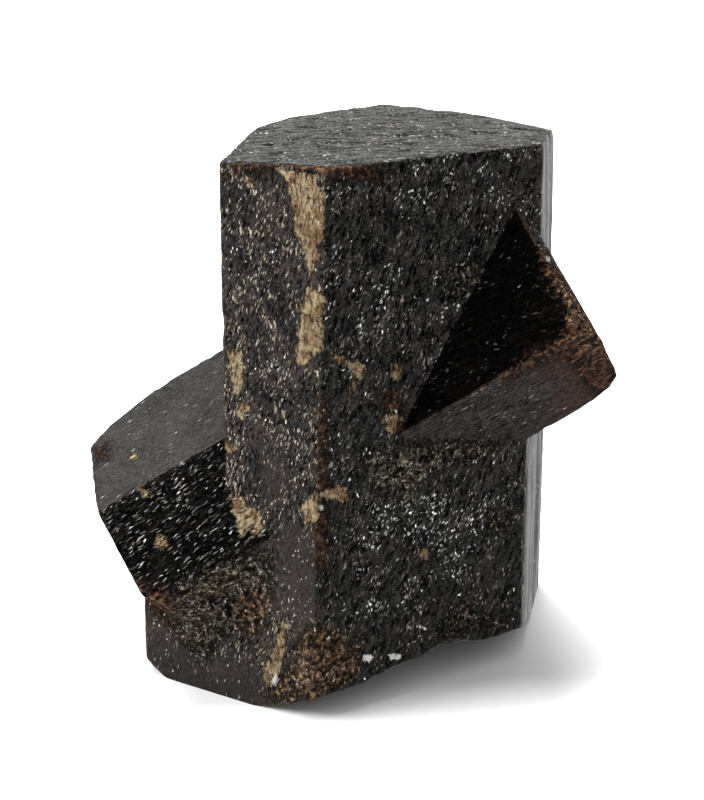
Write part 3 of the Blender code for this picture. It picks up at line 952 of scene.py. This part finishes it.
# where the ramps of the masks begin and end
ramps = {
    "wear": (0.42, 0.62), "brown": (0.35, 0.68), "mottleDark": (0.50, 0.37), "mottlePale": (0.53, 0.68),
    "gritDark": (0.46, 0.34), "gritPale": (0.55, 0.68), "pitted": (0.54, 0.44), "calmMarks": (1.0, 0.88),
    "coatStreak": (0.43, 0.55, 0.10, 1.0), "glintTone": (0.2, 1.0, 0.3, 1.0),
    "paleBits": (1.10, 1.22), "nearRim": (0.34, 0.10), "rimCrumb": (0.42, 0.55),
    "dirtTan": (0.42, 0.58), "dirtCleft": (0.36, 0.50), "dirtFine": (0.40, 0.54), "dirtCrumb": (0.38, 0.60),
    "dirtFlake": (1.12, 1.24), "stain": (0.42, 0.62), "rust": (0.42, 0.60), "ochreCrumb": (0.40, 0.66),
    "ochreFine": (0.36, 0.52), "clayWarm": (0.46, 0.62), "clayFibre": (0.36, 0.56),
    "clayCrumb": (0.46, 0.34), "clayFine": (0.47, 0.34),
}


def ramp(value, name):
    return ease(value, *ramps[name])


# one tone laid over another where a mask asks for it
def laid(under, mask, amount, tone):
    return mixColour(times(mask, amount), under, tone)


# shape of a dash in its cell: how far it slants and frays, its smallest and largest size, its solid core
dashShape = {"slant": 1.5, "fray": 0.8, "sizes": (0.40, 1.3), "core": 0.45, "clumpReach": 3.0,
             "shiftAlong": 1.7}


# short marks: one leaning dash in some of the cells of a stretched pattern, each with its own tone
def dashMarksGroup():
    inputs = ("Pattern", "Across", "Along", "Lean", "Share", "Clumps", "Size", "Bend", "Shift")
    tree, given, out = newGroup("dashMarks", inputs, ("Mark", "Tone"))
    bend = times(minus(noiseAt(given["Pattern"], "wander"), 0.5), given["Bend"])
    shift = joined(plus(bend, given["Shift"]), times(given["Shift"], dashShape["shiftAlong"]))
    moved = vectorMaths("ADD", turnedBy(given["Pattern"], given["Lean"]), shift)
    scaled = vectorMaths("MULTIPLY", moved, joined(given["Across"], given["Along"]))
    cells = wired("ShaderNodeTexVoronoi", (scaled, 1.0), ("Vector", "Scale"), voronoi_dimensions="2D")
    away = parted(vectorMaths("SUBTRACT", scaled, cells.outputs["Position"]))
    tone, sizing, chance = wired("ShaderNodeSeparateColor", (cells.outputs["Color"],)).outputs
    aside = plus(away[0], times(away[1], times(minus(tone, 0.5), dashShape["slant"])))
    reach = power(plus(times(aside, aside), times(away[1], away[1])), 0.5)
    reach = plus(reach, times(minus(noiseAt(scaled, "fray"), 0.5), dashShape["fray"]))
    size = times(given["Size"], ease(sizing, 0.0, 1.0, *dashShape["sizes"]))
    clump = minus(noiseAt(vectorMaths("ADD", given["Pattern"], shift), "clump"), 0.5)
    level = plus(given["Share"], times(clump, times(given["Clumps"], dashShape["clumpReach"])))
    present = ease(chance, level, minus(level, 0.02))
    feed(out["Mark"], times(present, ease(reach, size, times(size, dashShape["core"]))))
    feed(out["Tone"], tone)
    return tree


# mineral grain: broad, mottled and fine unevenness; the mottling is stretched along the face
def mineralGrainGroup():
    tree, given, out = newGroup("mineralGrain", ("Place", "Pattern", "Lean", "Across", "Along"),
                                ("Broad", "Mottle", "Fine", "Height"))
    along = turnedBy(given["Pattern"], given["Lean"])
    scaled = vectorMaths("MULTIPLY", along, joined(given["Across"], given["Along"]))
    mottle = noiseAt(scaled, "mottle")
    fine = noiseAt(given["Place"], "grit")
    feed(out["Broad"], noiseAt(given["Place"], "broad"))
    feed(out["Mottle"], mottle)
    feed(out["Fine"], fine)
    feed(out["Height"], plus(mottle, times(fine, 0.25)))
    return tree


# how far, in millimetres, each kind of patch strays from its outline, and how soft its edge is
patchEdges = {"clay": (0.8, 0.10), "rust": (1.6, 0.40), "stain": (2.2, 0.9), "ochre": (1.9, 0.30),
              "dirt": (2.0, 0.40), "calm": (1.5, 0.8), "pits": (1.5, 0.4), "sparkle": (1.5, 0.5),
              "mica": (0.4, 0.05)}
crumbKinds = ("Crumb", "Fibre", "Fine", "Lump")
fibreStretch = ((4.6, 1.5, 1.0), 12.0)      # scale, and turn in degrees


# ragged masks of the marked places from their depths in millimetres, and the crumbs that fill them
def crustMarksGroup():
    tree, given, out = newGroup("crustMarks", ("Place", "Pattern"),
                                tuple(name.capitalize() for name in patchEdges) + crumbKinds)
    fibre = noiseAt(stretched(given["Pattern"], *fibreStretch), "fibre")
    crumb = noiseAt(given["Place"], "crumb")
    push = times(minus(plus(fibre, crumb), 1.0), 1.5)
    for name, (stray, soft) in patchEdges.items():
        depth = plus(maskOf(tree, name), times(push, stray))
        feed(out[name.capitalize()], ease(depth, -soft, soft))
    for name, value in zip(crumbKinds, (crumb, fibre, noiseAt(given["Place"], "fine"),
                                        noiseAt(given["Place"], "lump"))):
        feed(out[name], value)
    return tree


# worn crystal edges, broken up by grain
def wornRimGroup():
    tree, given, out = newGroup("wornRim", ("Place", "Width"), ("Wear",))
    uneven = noiseAt(given["Place"], "wear")
    reach = times(given["Width"], times(uneven, 2.0))
    feed(out["Wear"], times(ease(maskOf(tree, "edge"), reach, 0.0), ramp(uneven, "wear")))
    return tree


# the crust: linear colours, how much of the stone each kind hides, how dull it is, how high it stands
crust = {
    "clayLight": (0.36, 0.275, 0.160), "clayDeep": (0.030, 0.019, 0.012), "clayWarm": (0.21, 0.125, 0.065),
    "rustLight": (0.074, 0.032, 0.020), "rustDeep": (0.010, 0.0055, 0.0045),
    "rustOchre": (0.25, 0.125, 0.062), "ochreLight": (0.178, 0.106, 0.060),
    "ochreDeep": (0.007, 0.005, 0.004), "ochrePale": (0.42, 0.265, 0.145),
    "dirtLight": (0.135, 0.117, 0.092), "dirtWarm": (0.120, 0.086, 0.064),
    "dirtPale": (0.50, 0.435, 0.31), "dirtDeep": (0.0012, 0.0010, 0.0009),
    # the pale mica tone is partly mica flakes, partly painted glints
    "stainLight": (0.046, 0.021, 0.016), "stainDeep": (0.012, 0.0065, 0.0055), "mica": (0.52, 0.50, 0.47),
    "overlay": {"rustPale": 0.5, "rustRim": 0.6, "ochrePale": 0.9, "dirtFlake": 0.9, "clayCrumb": 0.8,
                "clayFine": 0.6},
    "cover": {"Dirt": 0.9, "Stain": 0.75, "Rust": 0.85, "Ochre": 0.92, "Clay": 0.97},
    "dull": {"Clay": 1.0, "Dirt": 0.8, "Rust": 0.6, "Ochre": 0.9}, "dullRoughness": 0.85,
    "heights": {"Crumb": 0.55, "Fibre": 0.30, "Lump": 0.60},
}


# colour of the crust over the stone's own colour: every tone runs from deep to light with its crumbs
def crustColourGroup():
    inputs = ("Colour", "Broad", *crust["cover"], *crumbKinds)
    tree, given, out = newGroup("crustColour", inputs, ("Colour",))
    overlay = crust["overlay"]
    crumb, fibre, fine, lump = (given[name] for name in crumbKinds)
    pale = ramp(plus(fibre, crumb), "paleBits")
    # rust turns paler in crumbs along the crystal edges: painted highlight on the edges
    onRim = times(ramp(maskOf(tree, "edge"), "nearRim"), ramp(crumb, "rimCrumb"))
    # the dirt is near black in the clefts between its crumbs: its own dark grains, and painted shade in the
    # clefts
    clefts = times(ramp(lump, "dirtCleft"), ramp(fine, "dirtFine"))
    tan = mixColour(ramp(given["Broad"], "dirtTan"), crust["dirtWarm"], crust["dirtLight"])
    dirt = mixColour(times(ramp(crumb, "dirtCrumb"), clefts), crust["dirtDeep"], tan)
    rust = mixColour(ramp(crumb, "rust"), crust["rustDeep"], crust["rustLight"])
    rust = laid(rust, pale, overlay["rustPale"], crust["rustOchre"])
    gaps = times(ramp(crumb, "ochreCrumb"), ramp(fine, "ochreFine"))
    ochre = mixColour(gaps, crust["ochreDeep"], crust["ochreLight"])
    warm = mixColour(ramp(lump, "clayWarm"), crust["clayLight"], crust["clayWarm"])
    clay = mixColour(ramp(fibre, "clayFibre"), crust["clayDeep"], warm)
    clay = laid(clay, ramp(crumb, "clayCrumb"), overlay["clayCrumb"], crust["clayDeep"])
    flakes = ramp(plus(crumb, fine), "dirtFlake")
    tones = {
        "Dirt": laid(dirt, flakes, overlay["dirtFlake"], crust["dirtPale"]),
        "Stain": mixColour(ramp(crumb, "stain"), crust["stainDeep"], crust["stainLight"]),
        "Rust": laid(rust, onRim, overlay["rustRim"], crust["rustOchre"]),
        "Ochre": laid(ochre, pale, overlay["ochrePale"], crust["ochrePale"]),
        "Clay": laid(clay, ramp(fine, "clayFine"), overlay["clayFine"], crust["clayDeep"]),
    }
    colour = given["Colour"]
    for name, amount in crust["cover"].items():
        colour = laid(colour, given[name], amount, tones[name])
    feed(out["Colour"], colour)
    return tree


dashMarks = dashMarksGroup()
mineralGrain = mineralGrainGroup()
crustMarks = crustMarksGroup()
wornRim = wornRimGroup()
crustColour = crustColourGroup()


# one set of dashes: cells in a millimetre across and along, share of them filled, size in its cell
def dashes(across, along, share, size, lean=0.3, clumps=0.4, bend=0.3):
    return {"Across": across, "Along": along, "Share": share, "Size": size, "Lean": lean, "Clumps": clumps,
            "Bend": bend}


# what each kind of surface looks like; colours are linear, heights of the bumps in millimetres
commonLook = {
    "dark": (0.0128, 0.0118, 0.0120), "brown": (0.0305, 0.0252, 0.0236),
    "black": (0.0004, 0.0004, 0.0004), "pale": (0.056, 0.049, 0.044), "mottleDark": 0.85,
    "mottlePale": 0.6, "mottleLean": 0.3, "mottleCells": (4.5, 2.0), "grit": 0.55,
    "large": dashes(5.0, 1.0, 0.14, 0.36, clumps=1.0, bend=0.8), "largeAmount": 0.8,
    "small": dashes(9.0, 2.0, 0.42, 0.40, clumps=1.1, bend=0.4), "smallAmount": 0.95,
    "slits": dashes(5.0, 1.6, 0.48, 0.42), "slitAmount": 1.0, "glints": dashes(8.0, 3.2, 0.012, 0.36),
    "glintAmount": 0.7, "toneDim": (0.055, 0.046, 0.036), "toneBright": (0.52, 0.43, 0.32),
    "glintTone": (0.9, 0.9, 0.88), "sparkleShare": 0.0, "pitDepth": 0.0, "coat": 0.0,
    "coatRoughness": 0.15, "coatIor": 1.75, "coatGaps": 0.8, "calmAmount": 0.7, "pitAmount": 0.95,
    "ior": 1.74, "roughness": 0.22, "roughSpread": 0.10, "slitRoughness": 0.30,
    "level": 0.02, "markBump": 0.05, "slitBump": 0.12, "grainBump": 0.14,
    "rimColour": (0.058, 0.034, 0.023), "rimWidth": 0.18,
}
# and what is different on each kind of face; the ground colours follow how light each face looks: the top
# and the side are lighter, a painted reflection of the bright backdrop and floor, and the arms' front faces
# are near black, painted shade
stoneKinds = {
    "leftSkin": {},
    "rightSkin": {
        "dark": (0.0110, 0.0110, 0.0108), "brown": (0.0160, 0.0150, 0.0138), "mottleDark": 0.97,
        "pale": (0.056, 0.055, 0.050), "mottleLean": 0.45, "mottleCells": (3.0, 1.25), "grit": 0.7,
        "large": dashes(4.2, 0.9, 0.07, 0.34, 0.45, 1.0, 1.0), "largeAmount": 0.6,
        "small": dashes(8.0, 2.1, 0.24, 0.34, 0.45, 1.0, 0.5), "smallAmount": 0.85,
        "slits": dashes(3.1, 0.95, 0.58, 0.46, 0.45, 0.5, 0.6),
        "glints": dashes(7.6, 2.5, 0.012, 0.34, 0.5, 0.5, 0.9), "sparkleShare": 0.32, "glintAmount": 1.0,
        "toneDim": (0.030, 0.029, 0.026), "toneBright": (0.34, 0.30, 0.24), "roughness": 0.17,
        "slitBump": 0.20, "grainBump": 0.20, "level": 0.015,
    },
    "side": {
        "dark": (0.018, 0.018, 0.018), "brown": (0.030, 0.029, 0.028), "pale": (0.075, 0.075, 0.075),
        "mottleLean": 0.0, "mottleCells": (0.55, 0.07), "mottleDark": 0.8, "mottlePale": 0.7,
        "large": dashes(1.4, 0.4, 0.03, 0.26, 0.0, 0.8), "small": dashes(4.0, 1.1, 0.07, 0.28, 0.0, 0.9),
        "slits": dashes(0.6, 0.08, 0.50, 0.36, 0.0), "slitAmount": 0.8,
        "glints": dashes(4.0, 1.6, 0.012, 0.30, 0.0), "level": 0.03, "roughness": 0.20, "grainBump": 0.10,
        "grit": 0.3, "coat": 0.95, "toneBright": (0.30, 0.28, 0.25),
    },
    "top": {
        "dark": (0.030, 0.0303, 0.029), "brown": (0.045, 0.045, 0.043), "black": (0.001, 0.001, 0.001),
        "pale": (0.135, 0.133, 0.124), "mottleLean": 1.57, "mottleCells": (1.9, 0.7), "mottleDark": 1.0,
        "mottlePale": 0.4, "large": dashes(2.0, 0.7, 0.03, 0.26, 1.57, 0.8), "largeAmount": 0.6,
        "small": dashes(3.6, 1.6, 0.08, 0.30, 1.57, 0.8),
        "slits": dashes(1.6, 0.55, 0.44, 0.50, 1.50, 0.8, 1.2), "toneDim": (0.10, 0.095, 0.085),
        "toneBright": (0.40, 0.36, 0.28), "glints": dashes(4.5, 2.6, 0.003, 0.30, 1.57),
        "sparkleShare": 0.07, "pitDepth": 0.16, "grit": 1.0, "roughness": 0.26, "slitBump": 0.14,
        "markBump": 0.02,
    },
    # front face of the left arm: its near-black ground is painted shade, and its bright dashes along the
    # striae are painted glints on their crests
    "armFront": {
        "dark": (0.0008, 0.0008, 0.0008), "brown": (0.0022, 0.0020, 0.0018), "black": (0.0, 0.0, 0.0),
        "pale": (0.017, 0.0165, 0.0155), "mottleDark": 0.95, "mottleLean": -0.08,
        "mottleCells": (4.6, 0.9), "large": dashes(5.8, 0.62, 0.34, 0.26, -0.14, 0.7, 0.4),
        "largeAmount": 0.75, "small": dashes(9.4, 1.25, 0.46, 0.30, -0.10, 0.7, 0.35),
        "slits": dashes(3.4, 0.8, 0.55, 0.42, -0.1, 0.4, 0.5),
        "glints": dashes(7.0, 2.0, 0.02, 0.34, -0.1), "toneDim": (0.004, 0.004, 0.0037),
        "toneBright": (0.42, 0.395, 0.34), "roughness": 0.14, "level": 0.012, "slitBump": 0.08,
        "markBump": 0.06, "grainBump": 0.07, "rimWidth": 0.10,
    },
    # front face of the right arm: near black, painted shade over the stone's own dark, with faint dashes
    # along the striae
    "armGloss": {
        "dark": (0.0010, 0.0010, 0.0010), "brown": (0.0020, 0.0018, 0.0016),
        "pale": (0.008, 0.0072, 0.0066), "mottleDark": 0.7, "mottlePale": 0.5, "mottleLean": 0.05,
        "mottleCells": (4.8, 0.8), "large": dashes(4.0, 0.8, 0.03, 0.26, 0.1, 0.5, 0.8),
        "small": dashes(6.2, 1.5, 0.13, 0.30, 0.1, 0.8, 1.0),
        "glints": dashes(6.0, 2.0, 0.0, 0.32, 0.1, 0.05), "slits": dashes(3.0, 0.8, 0.5, 0.4, 0.0),
        "toneDim": (0.003, 0.003, 0.0027), "toneBright": (0.11, 0.098, 0.078), "roughness": 0.14,
        "level": 0.012, "slitBump": 0.05, "grainBump": 0.05, "rimWidth": 0.12,
    },
    "armTop": {
        "dark": (0.0190, 0.0181, 0.0176), "brown": (0.029, 0.0268, 0.0254), "mottleDark": 0.35,
        "pale": (0.054, 0.052, 0.049), "mottlePale": 0.65, "mottleLean": 0.0, "mottleCells": (6.0, 2.0),
        "large": dashes(3.4, 0.7, 0.02, 0.26, 0.0, 0.6), "small": dashes(6.0, 1.3, 0.04, 0.26, 0.0, 0.7),
        "slits": dashes(3.6, 0.8, 0.10, 0.3, 0.0), "slitAmount": 0.5,
        "glints": dashes(7.0, 2.0, 0.0, 0.34, 0.0, 0.08), "glintAmount": 0.5,
        "toneDim": (0.04, 0.04, 0.038), "toneBright": (0.30, 0.27, 0.23), "roughness": 0.30,
        "slitBump": 0.03, "grainBump": 0.05, "rimWidth": 0.08, "rimColour": (0.060, 0.045, 0.036),
    },
    "armUnder": {
        "dark": (0.0140, 0.0126, 0.0124), "brown": (0.0270, 0.0222, 0.0212),
        "pale": (0.062, 0.050, 0.045), "mottleLean": 0.05, "mottleCells": (4.8, 1.4),
        "large": dashes(3.6, 0.9, 0.06, 0.30, 0.1, 0.8), "small": dashes(6.2, 1.7, 0.20, 0.30, 0.1, 0.8),
        "slits": dashes(4.0, 1.0, 0.46, 0.38, 0.05), "glints": dashes(6.5, 2.0, 0.0, 0.34, 0.1, 0.08),
        "toneDim": (0.04, 0.031, 0.027), "toneBright": (0.26, 0.20, 0.15), "level": 0.025,
        "rimWidth": 0.14,
    },
    "broken": {
        "brown": (0.032, 0.021, 0.015), "grainBump": 0.2, "roughness": 0.45, "mottleLean": 0.0,
        "mottleCells": (3.0, 2.4), "slits": dashes(2.6, 1.6, 0.5, 0.42, 0.2),
        "large": dashes(3.6, 1.4, 0.06, 0.32, 0.2, 0.9, 0.8),
        "small": dashes(6.0, 2.4, 0.20, 0.32, 0.2, 1.0, 0.6),
    },
}
# every set of dashes reads the pattern at a place of its own
dashSets = {"large": 4.7, "small": 7.7, "slits": 11.3, "glints": 17.9}


def stoneMaterial(name, look):
    values = {**commonLook, **look}
    material = bpy.data.materials.new(name)
    material.use_nodes = True
    tree = material.node_tree
    shader = tree.nodes["Principled BSDF"]
    pattern = addNode(tree, "ShaderNodeUVMap", uv_map="facePattern").outputs[0]
    place = stretched(addNode(tree, "ShaderNodeTexCoord").outputs["Object"], (1 / mm, 1 / mm, 1 / mm))
    across, along = values["mottleCells"]
    grain = useGroup(mineralGrain, Place=place, Pattern=pattern, Lean=values["mottleLean"], Across=across,
                     Along=along)
    marks = useGroup(crustMarks, Place=place, Pattern=pattern)
    rim = useGroup(wornRim, Place=place, Width=values["rimWidth"])
    large, small, slits, glints = (useGroup(dashMarks, Pattern=pattern, Shift=shift, **values[key])
                                   for key, shift in dashSets.items())
    # more painted glints where the sparkle and pit patches lie
    if values["sparkleShare"]:
        extra = times(largest(marks["Sparkle"], marks["Pits"]), values["sparkleShare"])
        feed(glints["Mark"].node.inputs["Share"], plus(extra, values["glints"]["Share"]))
    # pits are painted near black: painted shade inside them
    pitted = times(marks["Pits"], ramp(marks["Crumb"], "pitted"))
    uneasy = minus(1.0, times(marks["Calm"], values["calmAmount"]))

    colour = mixColour(ramp(grain["Broad"], "brown"), values["dark"], values["brown"])
    layers = [
        (times(ramp(grain["Mottle"], "mottleDark"), uneasy), values["mottleDark"], values["black"]),
        (ramp(grain["Mottle"], "mottlePale"), values["mottlePale"], values["pale"]),
        # slits are laid black: partly the stone's own dark, partly painted shade inside these cracks
        (times(slits["Mark"], uneasy), values["slitAmount"], values["black"]),
        (pitted, values["pitAmount"], values["black"]),
        (marks["Calm"], values["calmAmount"], values["brown"]),
        (ramp(grain["Fine"], "gritDark"), values["grit"], values["black"]),
        (ramp(grain["Fine"], "gritPale"), values["grit"], values["pale"]),
    ]
    for marking, amount in ((large, values["largeAmount"]), (small, values["smallAmount"])):
        tone = mixColour(power(marking["Tone"], 2.0), values["toneDim"], values["toneBright"])
        kept = minus(1.0, times(marks["Calm"], ramp(marking["Tone"], "calmMarks")))
        layers.append((times(marking["Mark"], kept), amount, tone))
    for mask, amount, tone in layers + [(rim["Wear"], 1.0, values["rimColour"])]:
        colour = laid(colour, mask, amount, tone)
    crusted = {key: marks[key] for key in (*crust["cover"], *crumbKinds)}
    colour = useGroup(crustColour, Colour=colour, Broad=grain["Broad"], **crusted)["Colour"]
    # glints: white dashes painted into the colour, painted highlights
    glinting = times(glints["Mark"], ramp(glints["Tone"], "glintTone"))
    colour = laid(colour, glinting, values["glintAmount"], values["glintTone"])
    # mica spots: pale mica flakes and painted glints
    feed(shader.inputs["Base Color"], mixColour(marks["Mica"], colour, crust["mica"]))

    dull = 0.0
    for key, amount in crust["dull"].items():
        dull = largest(dull, times(marks[key], amount))
    gloss = plus(values["roughness"], times(minus(grain["Mottle"], 0.5), values["roughSpread"] * 2))
    gloss = mixValue(slits["Mark"], gloss, values["slitRoughness"])
    feed(shader.inputs["Roughness"], mixValue(dull, gloss, crust["dullRoughness"]))
    feed(shader.inputs["IOR"], values["ior"])
    feed(shader.inputs["Specular IOR Level"], values["level"])
    if values["coat"]:
        gaps = minus(1.0, times(slits["Mark"], values["coatGaps"]))
        streak = times(ramp(grain["Mottle"], "coatStreak"), gaps)
        feed(shader.inputs["Coat Weight"], times(streak, values["coat"]))
        feed(shader.inputs["Coat Roughness"], values["coatRoughness"])
        feed(shader.inputs["Coat IOR"], values["coatIor"])

    heights = [(large["Mark"], values["markBump"]), (small["Mark"], values["markBump"]),
               (slits["Mark"], -values["slitBump"]), (pitted, -values["pitDepth"]),
               (grain["Height"], values["grainBump"])]
    heights += [(times(marks[key], dull), amount) for key, amount in crust["heights"].items()]
    height = 0.0
    for value, amount in heights:
        height = plus(height, times(value, amount))
    bump = wired("ShaderNodeBump", (height, 1.0, mm), ("Height", "Strength", "Distance"))
    feed(shader.inputs["Normal"], bump.outputs[0])
    return material


stoneLooks = {name: stoneMaterial(name + "Stone", look) for name, look in stoneKinds.items()}
print("stone materials ready")

stoneObject = makeStone()
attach(stoneObject, "root")
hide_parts("staurolite_twin")

# pale floor and soft light
studio = {
    "floorSize": 3.0, "floorColour": (0.92, 0.92, 0.925), "floorMirrored": 0.48,
    "floorRoughness": 0.9, "floorLevel": 0.1,
    "mirroredBack": 0.22, "mirroredFront": 0.01, "mirroredLeft": 0.06, "mirroredTop": 0.30,
    "fillBack": 0.70, "fillFront": 0.62, "seen": 1.05,
    # place, size and power of each light
    "overheadLight": ((-0.055, 0.088, 0.40), 0.30, 4.2),
    "leftLight": ((-0.36, -0.06, 0.26), 0.26, 2.2),
    "lightTarget": (0, 0, 0.01),
}


def makeFloor():
    half = studio["floorSize"] / 2
    mesh = bpy.data.meshes.new("paleFloor")
    corners = [(-half, -half, 0), (half, -half, 0), (half, half, 0), (-half, half, 0)]
    mesh.from_pydata(corners, [], [(0, 1, 2, 3)])
    floor = addObject("paleFloor", mesh)
    material = bpy.data.materials.new("palePaper")
    material.use_nodes = True
    tree = material.node_tree
    shader = tree.nodes["Principled BSDF"]
    feed(shader.inputs["Base Color"], studio["floorColour"])
    feed(shader.inputs["Roughness"], studio["floorRoughness"])
    feed(shader.inputs["Specular IOR Level"], studio["floorLevel"])
    dim = addNode(tree, "ShaderNodeEmission")
    feed(dim.inputs["Strength"], studio["floorMirrored"])
    path = addNode(tree, "ShaderNodeLightPath")
    mixed = wired("ShaderNodeMixShader", (path.outputs["Is Glossy Ray"], shader.outputs[0], dim.outputs[0]))
    feed(tree.nodes["Material Output"].inputs["Surface"], mixed.outputs[0])
    mesh.materials.append(material)


# world: white to the eye, brighter behind than in front, and nearly dark in front where it is mirrored
def makeWorld():
    world = bpy.data.worlds.new("studioWorld")
    world.use_nodes = True
    tree = world.node_tree
    background = tree.nodes["Background"]
    x, y, z = parted(addNode(tree, "ShaderNodeTexCoord").outputs["Generated"])
    behind = ease(y, -0.25, 0.45, studio["mirroredFront"], studio["mirroredBack"])
    above = ease(z, 0.35, 1.0, 0.0, studio["mirroredTop"])
    left = ease(x, -0.3, -0.9, 0.0, studio["mirroredLeft"])
    fill = ease(y, -0.6, 0.6, studio["fillFront"], studio["fillBack"])
    path = addNode(tree, "ShaderNodeLightPath").outputs
    unseen = mixValue(path["Is Glossy Ray"], fill, plus(plus(behind, above), left))
    feed(background.inputs["Strength"], mixValue(path["Is Camera Ray"], unseen, studio["seen"]))
    feed(background.inputs["Color"], (1, 1, 1))
    bpy.context.scene.world = world


def softLight(name, place, size, power):
    data = bpy.data.lights.new(name, "AREA")
    data.shape = "DISK"
    data.size = size
    data.energy = power
    light = addObject(name, data)
    light.location = place
    aim = Vector(studio["lightTarget"]) - Vector(place)
    light.rotation_euler = aim.to_track_quat("-Z", "Y").to_euler()


makeFloor()
makeWorld()
for lightName in ("overheadLight", "leftLight"):
    softLight(lightName, *studio[lightName])
bpy.context.scene.view_settings.view_transform = "Standard"
print("lights ready")
